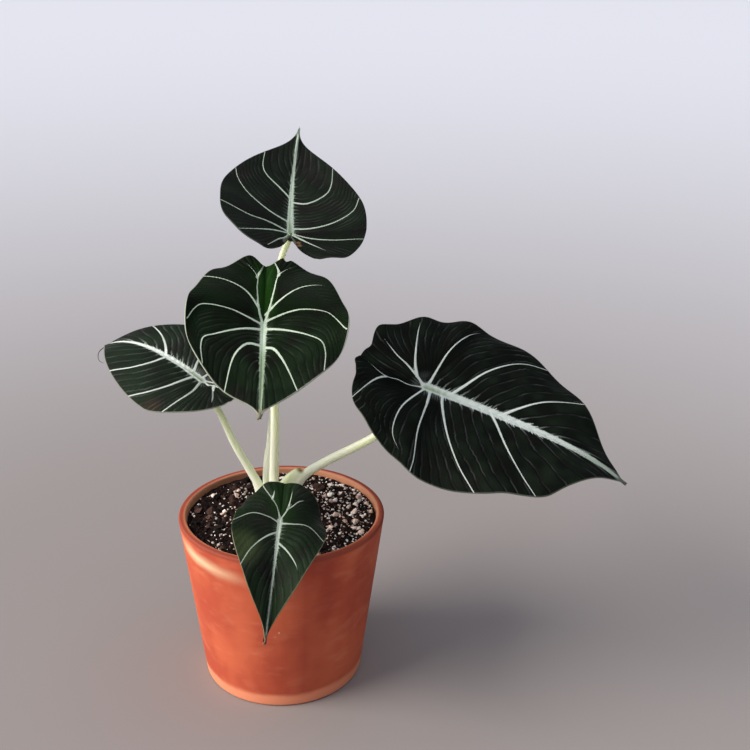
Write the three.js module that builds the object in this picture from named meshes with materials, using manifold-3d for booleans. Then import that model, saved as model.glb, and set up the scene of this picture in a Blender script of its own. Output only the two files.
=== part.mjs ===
// A black-velvet alocasia in a terracotta pot: the pot, the potting mix, the crown the plant
// grows from, five leaf stalks and five leaf blades with raised veins.
// Millimetres, +Z up. The origin is the centre of the pot's underside, on the surface it stands
// on. -Y is the side the plant is looked at from, +X is to the right.
import * as THREE from "three";
import Module from "manifold-3d";

const wasm = await Module();
wasm.setup();

const DEG = Math.PI / 180;

// ---------------------------------------------------------------- sizes
const POT_HEIGHT = 103.5;
const RIM_RADIUS = 60; // a 12 cm pot, measured across the outside of the rim
const FOOT_RADIUS = 47;
const POT_WALL = 4.4;
const POT_FLOOR = 7;
const LIP_ROUND = 1.3;
const FOOT_ROUND = 2.2;
const FLOOR_CORNER = 5; // height of the slope between the wall and the floor, inside
const FLOOR_SLOPE = 4; // and how far it runs inwards
const POT_SIDES = 60;
const DRAIN_HOLE_RADIUS = 4.5;
const DRAIN_HOLE_CENTRES = 22; // radius of the ring the three drain holes stand on
const DRAIN_HOLES = 3;
const DRAIN_HOLE_SIDES = 20;

const GAP = 0.3; // clearance between neighbouring pieces
const SOIL_CLEARANCE = 0.45; // between the soil and the pot's wall, which is a little faceted
const SOIL_LEVEL = 98.3;
const SOIL_ROUGHNESS = 1.3; // how far the top rises and sinks about its level
const SOIL_CALM = 0.4; // share of that roughness close round the crown
const SOIL_SIDES = 36;
const SOIL_RINGS = [12.6, 19, 26, 33, 40, 47, 51.5]; // radii of the rings of points on top
const BARK_BITS = 34; // chips of bark and pumice proud of the soil
const BIT_SMALL = 1.6; // radius of the smallest chip
const BIT_SPREAD = 2.4; // and how much bigger the biggest is
const BIT_STRETCH = [1.5, 1, 0.7];
const BIT_LEAN = 1.2; // radians between the two furthest leans of a chip
const BIT_FIRST = 17; // the chips lie from this far out
const BIT_REACH = 34; // over this much of the soil
const GOLDEN_TURN = 2.39996; // radians from one chip to the next round the pot

const CROWN_X = -4;
const CROWN_Y = -1.5;
const CROWN_RADIUS = 12;
const CROWN_TOP = 100.7;
const CROWN_FOOT = 72;
const CROWN_FOOT_SHARE = 0.72; // radius at the foot as a share of the full radius
const CROWN_RINGS = 7;
const CROWN_SIDES = 28;
const SCAR_DEPTH = 0.6; // of the grooves between leaf scars
const CROWN_BEVEL = 1.2;

const STALK_SIDES = 12;
const STALK_STATIONS = 16;
const STALK_FOOT = CROWN_TOP + GAP;
const STALK_UPRIGHT = 2; // the stalk leaves the crown straight up over this height
const STALK_NECK = 5; // and meets the blade square to it over this length
const SHEATH_START = 0.1; // shares of the stalk's length where its sheath is full,
const SHEATH_END = 0.2; // begins to die away
const SHEATH_FADE = 0.08; // and is gone
const SHEATH_SHARPNESS = 6;

const BLADE_THICKNESS = 1.2;
const EDGE_THICKNESS = 0.9;
const MIDRIB_UP = 0.35; // height of the midrib over the upper face
const MIDRIB_DOWN = 0.9; // and below the lower face, where veins stand out more
const MIDRIB_HALF_WIDTH = 1.1;
const MIDRIB_TIP_SHARE = 0.35; // its height at the tip as a share of that at the junction
const VEIN_UP = 0.25;
const VEIN_DOWN = 0.5;
const VEIN_HALF_WIDTH = 0.85;
const VEIN_NARROWING = 0.45; // share of its width a side vein loses on the way to the margin
const VEIN_SINKING = 0.6; // and of its height
const QUILT = 0.7; // rise of the blade between two side veins
const DRIP_HALF_WIDTH = 0.9; // half width of the thin drip tip
const DRIP_FADE = 3;
const TIP_SPREAD = 0.95; // margin angle over which the pointed tip changes to the round back
const WAVE_START = 0.8; // the edge waves fully from this margin angle on
const BACK_VEIN_FORWARD = 0.8; // how the veins of the back lobes bend, against the front ones
const BACK_VEIN_OUT = 0.45;
const BACK_VEINS_FROM = 1.2; // margin angle where that change begins
const BACK_VEINS_OVER = 1.5;
const LOBE_BEND = 0.6; // share of the front and back lengths over which the fold changes

// The rows of points across each half of a blade, by margin angle in radians.
const FIRST_ROW = 0.34;
const ROW_STEP = 0.2;
const NOTCH_ROWS = [0.35, 0.62, 0.78, 0.9]; // shares of the way from the last vein to the notch

// The five leaves. Each blade is drawn flat, with its stalk's foot on the blade (the junction)
// as the centre, then bent: its midrib arches, its two halves fold up and curl down, and its
// edge waves. Angles are in degrees, margin angles in radians from the tip (0) round to the
// notch (pi). A wave or ripple is its height, how many waves would go round two pi of margin
// angle, and its phase at the tip; a side vein is the margin angle it ends at. "left" is the
// leaf's own left, looking from the junction to the tip.
const LEAVES = [
  {
    name: "top",
    junction: [6.6, 15, 264.6],
    heading: 89.3,
    rise: 16.4,
    roll: 15.4,
    front: 88.5,
    back: 29,
    halfLeft: 42.3,
    halfRight: 42.3,
    widest: 0.08,
    tipPower: 3.2,
    backPower: 0.89,
    notch: 23.5,
    notchAngle: 0.12,
    archFront: -19.6,
    archBack: 8.3,
    tipDrop: -7.8,
    foldFront: 13.6,
    foldBack: 12.8,
    curlLeft: 26,
    curlRight: 7.4,
    curlBack: -8,
    waveLeft: [3, 4.22, 0.92],
    waveRight: [3.8, 3.64, 2.04],
    rippleLeft: [0.7, 8.6, 0.12],
    rippleRight: [0.77, 9.4, -0.15],
    rootAngle: 1.49,
    rootPower: 1.38,
    veinForward: 0.06,
    veinOut: 0.82,
    veinsLeft: [0.75, 1.08, 1.64, 2.25, 2.61],
    veinsRight: [0.84, 1.24, 1.86, 2.37, 2.72],
    stalk: [
      [-6.5, 4.5],
      [-7.6, 4.5, 122],
      [-4, 7.5, 165],
      [0.3, 12.5, 220],
      [2.7, 15.2, 250],
    ],
    stalkRadii: [2.7, 1.75],
    sheath: [-1, 0.2, 0, 0.35],
  },
  {
    name: "middle",
    junction: [-7.7, -41.1, 234.2],
    heading: -91.7,
    rise: -24.8,
    roll: -7.5,
    front: 67.3,
    back: 45.3,
    halfLeft: 43.4,
    halfRight: 40.6,
    widest: 0.15,
    tipPower: 2.81,
    backPower: 0.88,
    notch: 5.5,
    notchAngle: 0.15,
    archFront: -2.9,
    archBack: 5.7,
    tipDrop: 1.5,
    foldFront: 22.4,
    foldBack: 38,
    curlLeft: 3,
    curlRight: 15,
    curlBack: 59,
    waveLeft: [3, 4.02, -0.95],
    waveRight: [4.8, 3.63, 0.32],
    rippleLeft: [1.65, 9.2, -1.91],
    rippleRight: [-1.6, 9.8, -0.59],
    rootAngle: 1.59,
    rootPower: 2.06,
    veinForward: 0.03,
    veinOut: 0.95,
    veinsLeft: [0.67, 1, 1.53, 2.3, 2.79],
    veinsRight: [0.73, 1.01, 1.49, 2.3, 2.85],
    stalk: [
      [-4.5, -3.5],
      [-4.3, -8, 126],
      [-3, -20, 175],
      [-4.5, -30.5, 209],
    ],
    stalkRadii: [2.9, 2],
    sheath: [0.3, -1, 0, 0.3],
  },
  {
    name: "left",
    junction: [-43.9, 4.7, 183.2],
    heading: 143.6,
    rise: 24.3,
    roll: -7.4,
    front: 74.9,
    back: 27.2,
    halfLeft: 36.9,
    halfRight: 36.5,
    widest: 0.1,
    tipPower: 2.35,
    backPower: 1.2,
    notch: 4.8,
    notchAngle: 0.26,
    archFront: 25.6,
    archBack: -10.3,
    tipDrop: 13.1,
    foldFront: 17.6,
    foldBack: 11.3,
    curlLeft: 41.2,
    curlRight: 16.3,
    curlBack: 35.8,
    waveLeft: [-4.3, 2.37, -2.73],
    waveRight: [1.4, 4.11, -0.85],
    rippleLeft: [0.82, 6.3, 0],
    rippleRight: [0.4, 9, 0],
    rootAngle: 1.68,
    rootPower: 1.52,
    veinForward: 0.2,
    veinOut: 0.58,
    veinsLeft: [0.64, 0.98, 1.39, 1.93, 2.77],
    veinsRight: [0.5, 0.79, 1.28, 2, 2.7],
    stalk: [
      [-11.2, -1.5],
      [-12.2, -1, 117.5],
      [-18, 0, 129.7],
      [-26.1, 0, 146],
      [-35.6, 2, 167.6],
    ],
    stalkRadii: [2.75, 1.8],
    sheath: [-1, 0, 0.5, 0.4],
  },
  {
    name: "right",
    junction: [81.3, -8.3, 181.6],
    heading: -22.9,
    rise: -13.3,
    roll: 26,
    front: 120.9,
    back: 43.4,
    halfLeft: 59.8,
    halfRight: 60,
    widest: 0.16,
    tipPower: 3.2,
    backPower: 0.95,
    notch: 1.8,
    notchAngle: 0.28,
    archFront: 3.6,
    archBack: -21.2,
    tipDrop: 14,
    foldFront: 11.4,
    foldBack: 33,
    curlLeft: 50.5,
    curlRight: 9.2,
    curlBack: 63.8,
    waveLeft: [5.3, 3.11, 1.6],
    waveRight: [3.8, 4.26, -2.55],
    rippleLeft: [2.29, 13.2, 1.57],
    rippleRight: [1.97, 11.4, -0.98],
    rootAngle: 1.43,
    rootPower: 1.1,
    veinForward: 0.24,
    veinOut: 0.55,
    veinsLeft: [0.86, 1.21, 1.66, 2.32, 2.7],
    veinsRight: [0.94, 1.29, 1.66, 1.96, 2.66],
    stalk: [
      [2.6, 0.2],
      [6, 0, 112],
      [12.6, 0, 125],
      [25.2, 0, 133.8],
      [39.6, 0, 141.4],
      [53, -1.5, 149.6],
      [69, -4, 162.5],
    ],
    stalkRadii: [2.8, 2.3],
    sheath: [-0.8, 0.1, 0.6, 2.4],
  },
  {
    name: "front",
    junction: [-1.1, -54.5, 125.5],
    heading: -97.7,
    rise: -29,
    roll: -8,
    front: 58.4,
    back: 25.8,
    halfLeft: 25.7,
    halfRight: 25.5,
    widest: 0,
    tipPower: 3.17,
    backPower: 0.88,
    notch: 0,
    notchAngle: 0.25,
    archFront: 16.1,
    archBack: 16.4,
    tipDrop: 18.3,
    foldFront: 36,
    foldBack: 12.2,
    curlLeft: 6.2,
    curlRight: 7.6,
    curlBack: 58.5,
    waveLeft: [3.4, 3.63, 2.76],
    waveRight: [2, 4.82, -1.87],
    rippleLeft: [1.08, 8.1, 0.19],
    rippleRight: [0.82, 13.4, 0.54],
    rootAngle: 1.6,
    rootPower: 1.86,
    veinForward: 0.15,
    veinOut: 0.59,
    veinsLeft: [0.62, 0.89, 1.44, 2.47, 2.84],
    veinsRight: [0.7, 1.05, 1.68, 2.2, 2.69],
    stalk: [
      [-2.4, -9],
      [-2.4, -12, 109],
      [-2, -22, 115.5],
      [-1.2, -38, 116.6],
    ],
    stalkRadii: [2, 1.4],
    sheath: [0, -1, 0, 0.2],
  },
];

// ---------------------------------------------------------------- materials
function material(color, roughness) {
  return new THREE.MeshStandardMaterial({ color, roughness, metalness: 0 });
}
const TERRACOTTA = material(0xc4623e, 0.85);
const POTTING_MIX = material(0x2b201b, 0.95);
const CROWN_SKIN = material(0x8c8455, 0.7);
const STALK_SKIN = material(0xd9dcae, 0.5);
const VELVET = material(0x14261a, 0.75);

// ---------------------------------------------------------------- small helpers
// A solid for manifold-3d from a three.js geometry, and back again.
function toSolid(geometry) {
  const soup = geometry.index ? geometry.toNonIndexed() : geometry;
  const places = soup.getAttribute("position");
  const keys = new Map();
  const points = [];
  const corners = new Uint32Array(places.count);
  for (let i = 0; i < places.count; i++) {
    const p = [places.getX(i), places.getY(i), places.getZ(i)];
    const key = p.map((v) => Math.round(v * 1e4)).join();
    if (!keys.has(key)) {
      keys.set(key, points.length / 3);
      points.push(...p);
    }
    corners[i] = keys.get(key);
  }
  const kept = [];
  for (let i = 0; i < corners.length; i += 3) {
    const [a, b, c] = corners.subarray(i, i + 3);
    if (a !== b && b !== c && c !== a) kept.push(a, b, c);
  }
  return new wasm.Manifold(
    new wasm.Mesh({
      numProp: 3,
      vertProperties: new Float32Array(points),
      triVerts: new Uint32Array(kept),
    }),
  );
}

function toGeometry(solid) {
  const mesh = solid.getMesh();
  const geometry = new THREE.BufferGeometry();
  const places = new Float32Array(mesh.vertProperties);
  geometry.setAttribute("position", new THREE.BufferAttribute(places, 3));
  geometry.setIndex([...mesh.triVerts]);
  geometry.computeVertexNormals();
  return geometry;
}

// A repeatable stream of numbers from 0 to 1, for placing and turning the small bits.
function dice(seed) {
  let state = seed;
  return () => {
    state = (state * 16807) % 2147483647;
    return state / 2147483647;
  };
}

function smooth(x) {
  const t = Math.min(1, Math.max(0, x));
  return t * t * (3 - 2 * t);
}

const group = new THREE.Group();
group.name = "potted_alocasia";

function addPiece(name, geometry, skin) {
  const mesh = new THREE.Mesh(geometry, skin);
  mesh.name = name;
  group.add(mesh);
}

// ---------------------------------------------------------------- pot
// Thrown clay: one closed profile turned round the upright axis, then three drain holes
// bored through the floor. Its wall is the same thickness from foot to rim.
function arcPoints(r, z, radius, from, to, steps) {
  const out = [];
  for (let i = 0; i <= steps; i++) {
    const a = (from + ((to - from) * i) / steps) * DEG;
    out.push(new THREE.Vector2(r + radius * Math.cos(a), z + radius * Math.sin(a)));
  }
  return out;
}

function outerRadius(z) {
  return FOOT_RADIUS + ((RIM_RADIUS - FOOT_RADIUS) * z) / POT_HEIGHT;
}

function innerRadius(z) {
  return outerRadius(z) - POT_WALL;
}

function buildPot() {
  const lean = Math.atan2(RIM_RADIUS - FOOT_RADIUS, POT_HEIGHT) / DEG;
  const lipMiddle = POT_HEIGHT - LIP_ROUND;
  const profile = [
    new THREE.Vector2(0, 0),
    ...arcPoints(FOOT_RADIUS - FOOT_ROUND * 0.9, FOOT_ROUND, FOOT_ROUND, -90, -lean, 3),
    ...arcPoints(outerRadius(lipMiddle) - LIP_ROUND, lipMiddle, LIP_ROUND, -lean, 90, 3),
    ...arcPoints(innerRadius(lipMiddle) + LIP_ROUND, lipMiddle, LIP_ROUND, 90, 180 - lean, 3),
    new THREE.Vector2(innerRadius(POT_FLOOR + FLOOR_CORNER), POT_FLOOR + FLOOR_CORNER),
    new THREE.Vector2(innerRadius(POT_FLOOR) - FLOOR_SLOPE, POT_FLOOR),
    new THREE.Vector2(0, POT_FLOOR),
  ];
  const turned = new THREE.LatheGeometry(profile, POT_SIDES);
  turned.rotateX(Math.PI / 2);
  let pot = toSolid(turned);
  for (let i = 0; i < DRAIN_HOLES; i++) {
    const hole = new THREE.CylinderGeometry(
      DRAIN_HOLE_RADIUS,
      DRAIN_HOLE_RADIUS,
      3 * POT_FLOOR,
      DRAIN_HOLE_SIDES,
    );
    hole.rotateX(Math.PI / 2);
    const around = (i * 2 * Math.PI) / DRAIN_HOLES + Math.PI / 2;
    hole.translate(
      DRAIN_HOLE_CENTRES * Math.cos(around),
      DRAIN_HOLE_CENTRES * Math.sin(around),
      0,
    );
    pot = pot.subtract(toSolid(hole));
  }
  addPiece("pot", toGeometry(pot), TERRACOTTA);
}

// ---------------------------------------------------------------- potting mix
// One packed block that fills the pot, with a rough top, chips of bark and pumice sunk half
// way into it, and a plain round hole that the crown stands in.
function buildSoil() {
  const roll = dice(41);
  const floor = POT_FLOOR + GAP;
  const rings = [0, ...SOIL_RINGS, innerRadius(SOIL_LEVEL) - SOIL_CLEARANCE];
  const geometry = new THREE.BufferGeometry();
  const points = [];
  const faces = [];
  const ringStart = [];
  rings.forEach((radius, k) => {
    ringStart.push(points.length / 3);
    const count = k === 0 ? 1 : SOIL_SIDES;
    const edge = k === rings.length - 1;
    const byCrown = k < 2;
    for (let i = 0; i < count; i++) {
      const a = (i * 2 * Math.PI) / SOIL_SIDES;
      const height = SOIL_ROUGHNESS * (2 * roll() - 1) * (byCrown ? SOIL_CALM : 1);
      const sideways = byCrown ? 0 : 2 * roll() - 1;
      const r = edge ? radius : radius + sideways;
      points.push(r * Math.cos(a), r * Math.sin(a), edge ? SOIL_LEVEL : SOIL_LEVEL + height);
    }
  });
  const low = [
    [innerRadius(floor + FLOOR_CORNER) - SOIL_CLEARANCE, floor + FLOOR_CORNER],
    [innerRadius(floor) - FLOOR_SLOPE - SOIL_CLEARANCE, floor],
  ];
  low.forEach(([radius, z]) => {
    ringStart.push(points.length / 3);
    for (let i = 0; i < SOIL_SIDES; i++) {
      const a = (i * 2 * Math.PI) / SOIL_SIDES;
      points.push(radius * Math.cos(a), radius * Math.sin(a), z);
    }
  });
  ringStart.push(points.length / 3);
  points.push(0, 0, floor);
  const last = ringStart.length - 1;
  for (let k = 0; k < last; k++) {
    for (let i = 0; i < SOIL_SIDES; i++) {
      const j = (i + 1) % SOIL_SIDES;
      const a = ringStart[k];
      const b = ringStart[k + 1];
      if (k === 0) faces.push(a, b + i, b + j);
      else if (k === last - 1) faces.push(a + j, a + i, b);
      else faces.push(a + i, b + i, b + j, a + i, b + j, a + j);
    }
  }
  geometry.setAttribute("position", new THREE.Float32BufferAttribute(points, 3));
  geometry.setIndex(faces);
  let soil = toSolid(geometry);

  const bits = [];
  for (let i = 0; i < BARK_BITS; i++) {
    const size = BIT_SMALL + BIT_SPREAD * roll() * roll();
    const bit = new THREE.IcosahedronGeometry(size, 0);
    bit.scale(...BIT_STRETCH);
    bit.rotateX((roll() - 0.5) * BIT_LEAN);
    bit.rotateZ(roll() * 2 * Math.PI);
    const a = i * GOLDEN_TURN + 0.3 * roll();
    const r = BIT_FIRST + BIT_REACH * Math.sqrt((i + 0.5) / BARK_BITS);
    bit.translate(r * Math.cos(a), r * Math.sin(a), SOIL_LEVEL + 0.2 * size);
    bits.push(toSolid(bit));
  }
  for (const bit of bits) soil = soil.add(bit);

  const holeRadius = CROWN_RADIUS + GAP;
  const depth = 2 * (SOIL_LEVEL - CROWN_FOOT);
  const hole = new THREE.CylinderGeometry(holeRadius, holeRadius, depth, CROWN_SIDES);
  hole.rotateX(Math.PI / 2);
  hole.translate(CROWN_X, CROWN_Y, CROWN_FOOT - GAP + depth / 2);
  soil = soil.subtract(toSolid(hole));
  addPiece("soil", toGeometry(soil), POTTING_MIX);
}

// ---------------------------------------------------------------- crown
// The short thick stem at soil level. Its flat top carries the feet of the five stalks, and
// rings of old leaf scars run round it.
function buildCrown() {
  const profile = [new THREE.Vector2(0, CROWN_FOOT)];
  const shoulder = CROWN_TOP - CROWN_BEVEL - CROWN_FOOT;
  for (let i = 0; i <= CROWN_RINGS; i++) {
    const share = i / CROWN_RINGS;
    const scar = i % 2 ? 0 : SCAR_DEPTH;
    const swell = CROWN_FOOT_SHARE + (1 - CROWN_FOOT_SHARE) * Math.sqrt(share);
    profile.push(new THREE.Vector2(CROWN_RADIUS * swell - scar, CROWN_FOOT + shoulder * share));
  }
  profile.push(new THREE.Vector2(CROWN_RADIUS - CROWN_BEVEL, CROWN_TOP));
  profile.push(new THREE.Vector2(0, CROWN_TOP));
  const crown = new THREE.LatheGeometry(profile, CROWN_SIDES);
  crown.rotateX(Math.PI / 2);
  crown.translate(CROWN_X, CROWN_Y, 0);
  addPiece("crown", toGeometry(toSolid(crown)), CROWN_SKIN);
}

// ---------------------------------------------------------------- blades
// Half outline of a flat blade: forward distance and half width at a margin angle. Ahead of
// its widest line it is half an ellipse drawn out to a point, behind it half an ellipse with
// a notch between the two back lobes.
function outline(leaf, angle, half) {
  const widest = leaf.widest * leaf.front;
  const reach = angle < Math.PI / 2 ? leaf.front - widest : leaf.back + widest;
  const inNotch = (Math.PI - angle) / leaf.notchAngle;
  const forward = widest + reach * Math.cos(angle) + leaf.notch * Math.exp(-inNotch * inNotch);
  const sharp = Math.exp(-((angle / TIP_SPREAD) ** 2));
  const power = leaf.backPower + (leaf.tipPower - leaf.backPower) * sharp;
  const sine = Math.max(0, Math.sin(angle));
  const drip = DRIP_HALF_WIDTH * Math.sqrt(sine) * Math.exp(-angle * DRIP_FADE);
  return [forward, half * sine ** power + drip];
}

// Where the side vein that ends at this margin angle leaves the midrib.
function veinRoot(leaf, angle) {
  return leaf.front * Math.max(0, 1 - angle / leaf.rootAngle) ** leaf.rootPower;
}

// A flat point: share 0 is on the midrib, 1 on the margin, along the curve of a side vein,
// which is a quadratic arc that leaves the midrib steeply and bends towards the tip.
function flatPoint(leaf, angle, share, half) {
  const [endForward, endOut] = outline(leaf, angle, half);
  const root = veinRoot(leaf, angle);
  const behind = smooth((angle - BACK_VEINS_FROM) / BACK_VEINS_OVER);
  const forwardShare = leaf.veinForward + (BACK_VEIN_FORWARD - leaf.veinForward) * behind;
  const outShare = leaf.veinOut + (BACK_VEIN_OUT - leaf.veinOut) * behind;
  const middle = root + forwardShare * (endForward - root);
  const rest = 1 - share;
  return [
    rest * rest * root + 2 * share * rest * middle + share * share * endForward,
    2 * share * rest * outShare * endOut + share * share * endOut,
  ];
}

// One half's waved edge: a slow wave that fades towards the midrib and a quick ripple close
// to the margin. Both die away at the tip.
function edgeWave(leaf, angle, share, side) {
  const [height, count, start] = side > 0 ? leaf.waveLeft : leaf.waveRight;
  const [small, quick, from] = side > 0 ? leaf.rippleLeft : leaf.rippleRight;
  const slow = height * share ** 2 * Math.cos(count * angle + start);
  const fast = small * share ** 3 * Math.cos(quick * angle + from);
  return (slow + fast) * Math.min(1, angle / WAVE_START);
}

// The bent blade: the midrib is an arc (with the tip dropping further), each half rises at
// the fold angle and curls back down, and the edge waves.
function bentPoint(leaf, forward, out, angle, share, side, lift) {
  const half = side > 0 ? leaf.halfLeft : leaf.halfRight;
  const arch = forward >= 0 ? leaf.archFront / leaf.front : leaf.archBack / leaf.back;
  const turn = arch * DEG;
  const far = Math.abs(forward);
  const sign = forward < 0 ? -1 : 1;
  const along = (sign * Math.sin(turn * far)) / turn;
  let down = (1 - Math.cos(turn * far)) / turn;
  down += leaf.tipDrop * Math.max(0, forward / leaf.front) ** 4;
  const slope = sign * turn * far;
  const change = LOBE_BEND * (leaf.front + leaf.back);
  const ahead = smooth((forward + LOBE_BEND * leaf.back) / change);
  const fold = (leaf.foldBack * (1 - ahead) + leaf.foldFront * ahead) * DEG;
  const curlHere = side > 0 ? leaf.curlLeft : leaf.curlRight;
  const curl = ((curlHere * ahead + leaf.curlBack * (1 - ahead)) * DEG) / half;
  const across = (Math.sin(fold) - Math.sin(fold - curl * out)) / curl;
  let up = (Math.cos(fold - curl * out) - Math.cos(fold)) / curl;
  up += edgeWave(leaf, angle, share, side) + lift;
  return new THREE.Vector3(
    along + Math.sin(slope) * up,
    side * across,
    Math.cos(slope) * up - down,
  );
}

// The leaf's own frame, turned by its heading, rise and roll and carried to its junction.
function leafFrame(leaf) {
  const turn = new THREE.Matrix4().makeRotationZ(leaf.heading * DEG);
  turn.multiply(new THREE.Matrix4().makeRotationY(-leaf.rise * DEG));
  turn.multiply(new THREE.Matrix4().makeRotationX(leaf.roll * DEG));
  return turn.setPosition(...leaf.junction);
}

// A closed body from a sheet of triangles: the sheet is moved up and down along its own
// normals by each point's two offsets, and its free edge is walled.
function thicken(points, faces, above, below) {
  const sheet = new THREE.BufferGeometry();
  sheet.setFromPoints(points);
  sheet.setIndex(faces);
  sheet.computeVertexNormals();
  const normals = sheet.getAttribute("normal");
  const count = points.length;
  const places = [];
  for (const [offsets, sign] of [
    [above, 1],
    [below, -1],
  ]) {
    points.forEach((p, i) => {
      const n = new THREE.Vector3().fromBufferAttribute(normals, i);
      places.push(...p.clone().addScaledVector(n, sign * offsets[i]));
    });
  }
  const solid = [...faces];
  const edges = new Set();
  for (let i = 0; i < faces.length; i += 3) {
    const [a, b, c] = faces.slice(i, i + 3);
    solid.push(c + count, b + count, a + count);
    for (const [p, q] of [
      [a, b],
      [b, c],
      [c, a],
    ])
      edges.add(p + "," + q);
  }
  for (const edge of edges) {
    const [p, q] = edge.split(",").map(Number);
    if (edges.has(q + "," + p)) continue;
    solid.push(q, p, p + count, q, p + count, q + count);
  }
  const geometry = new THREE.BufferGeometry();
  geometry.setAttribute("position", new THREE.Float32BufferAttribute(places, 3));
  geometry.setIndex(solid);
  geometry.computeVertexNormals();
  return geometry;
}

// The margin angles of one half's rows: the tip, three rows for each side vein (its crest
// and both flanks), rows between veins close enough to carry the ripple, and the row that
// runs to the notch, with the rows before it drawn together where the notch turns in.
function rowAngles(own, other) {
  const rows = [
    { angle: 0.14, kind: "plain" },
    { angle: FIRST_ROW, kind: "plain" },
  ];
  const stops = [FIRST_ROW, ...own, Math.PI];
  const otherStops = [FIRST_ROW, ...other, Math.PI];
  for (let i = 1; i < stops.length; i++) {
    const gap = Math.max(stops[i] - stops[i - 1], otherStops[i] - otherStops[i - 1]);
    const steps = Math.max(2, Math.ceil(gap / ROW_STEP));
    let parts = Array.from({ length: steps - 1 }, (_, k) => (k + 1) / steps);
    if (i === stops.length - 1) parts = NOTCH_ROWS;
    for (const part of parts) {
      const angle = stops[i - 1] + (stops[i] - stops[i - 1]) * part;
      rows.push({ angle, kind: "between", bulge: Math.sin(part * Math.PI) });
    }
    if (i < stops.length - 1) {
      rows.push({ angle: stops[i], kind: "flank", toward: -1 });
      rows.push({ angle: stops[i], kind: "vein" });
      rows.push({ angle: stops[i], kind: "flank", toward: 1 });
    }
  }
  rows.push({ angle: Math.PI, kind: "notch" });
  return rows;
}

// Each row has points at these shares of the way from the midrib to the margin.
const SHARES = [0.035, 0.16, 0.36, 0.58, 0.8, 1];
const WIDEST_FLANK = 0.07; // most that a vein's flank may lie from its crest, in margin angle

function buildBlade(leaf) {
  const points = [];
  const above = [];
  const below = [];
  const faces = [];
  const frame = leafFrame(leaf);

  function addPoint(forward, out, angle, share, side, lift, rib) {
    const p = bentPoint(leaf, forward, out, angle, share, side, lift);
    points.push(p.applyMatrix4(frame));
    const thick = BLADE_THICKNESS + (EDGE_THICKNESS - BLADE_THICKNESS) * share;
    above.push(thick / 2 + rib[0]);
    below.push(thick / 2 + rib[1]);
    return points.length - 1;
  }

  const sides = [
    { side: 1, half: leaf.halfLeft, rows: rowAngles(leaf.veinsLeft, leaf.veinsRight) },
    { side: -1, half: leaf.halfRight, rows: rowAngles(leaf.veinsRight, leaf.veinsLeft) },
  ];

  // the midrib's own line of points, shared by both halves
  const tip = addPoint(leaf.front, 0, 0, 1, 1, 0, [0, 0]);
  const spine = [];
  let junction = -1;
  sides[0].rows.forEach((row, k) => {
    const other = sides[1].rows[k];
    const root = (veinRoot(leaf, row.angle) + veinRoot(leaf, other.angle)) / 2;
    if (root > 0) {
      const fade = 1 - (1 - MIDRIB_TIP_SHARE) * (root / leaf.front);
      const reach = row.kind === "flank" ? -row.toward * MIDRIB_HALF_WIDTH : 0;
      const forward = Math.max(GAP, root + reach);
      spine.push(addPoint(forward, 0, 1, 0, 1, 0, [MIDRIB_UP * fade, MIDRIB_DOWN * fade]));
    } else {
      if (junction < 0) junction = addPoint(0, 0, 1, 0, 1, 0, [MIDRIB_UP, MIDRIB_DOWN]);
      spine.push(junction);
    }
  });

  const notchRow = [];
  for (const { side, half, rows } of sides) {
    let before = null;
    rows.forEach((row, k) => {
      const line = [spine[k]];
      SHARES.forEach((share, c) => {
        if (row.kind === "notch" && side < 0) {
          line.push(notchRow[c]);
          return;
        }
        let angle = row.angle;
        if (row.kind === "flank") {
          const step = 0.01;
          const a = flatPoint(leaf, angle - step, share, half);
          const b = flatPoint(leaf, angle + step, share, half);
          const speed = Math.hypot(b[0] - a[0], b[1] - a[1]) / (2 * step);
          const width = VEIN_HALF_WIDTH * (1 - VEIN_NARROWING * share);
          angle += row.toward * Math.min(WIDEST_FLANK, width / speed);
        }
        const [forward, out] = flatPoint(leaf, angle, share, half);
        const taper = Math.min(1, share * 8) * (1 - VEIN_SINKING * share);
        const rib = row.kind === "vein" ? [VEIN_UP * taper, VEIN_DOWN * taper] : [0, 0];
        const lift = 4 * QUILT * share * (1 - share) * (row.bulge || 0);
        const index = addPoint(forward, out, angle, share, side, lift, rib);
        line.push(index);
        if (row.kind === "notch") notchRow.push(index);
      });
      const start = before || line.map(() => tip);
      for (let c = 0; c < line.length - 1; c++) {
        const quad = [start[c], start[c + 1], line[c + 1], line[c]];
        if (side > 0) quad.reverse();
        const [p, q, r, s] = quad;
        if (p !== q && q !== r && r !== p) faces.push(p, q, r);
        if (p !== r && r !== s && s !== p) faces.push(p, r, s);
      }
      before = line;
    });
  }
  addPiece("blade_" + leaf.name, thicken(points, faces, above, below), VELVET);
}

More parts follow.
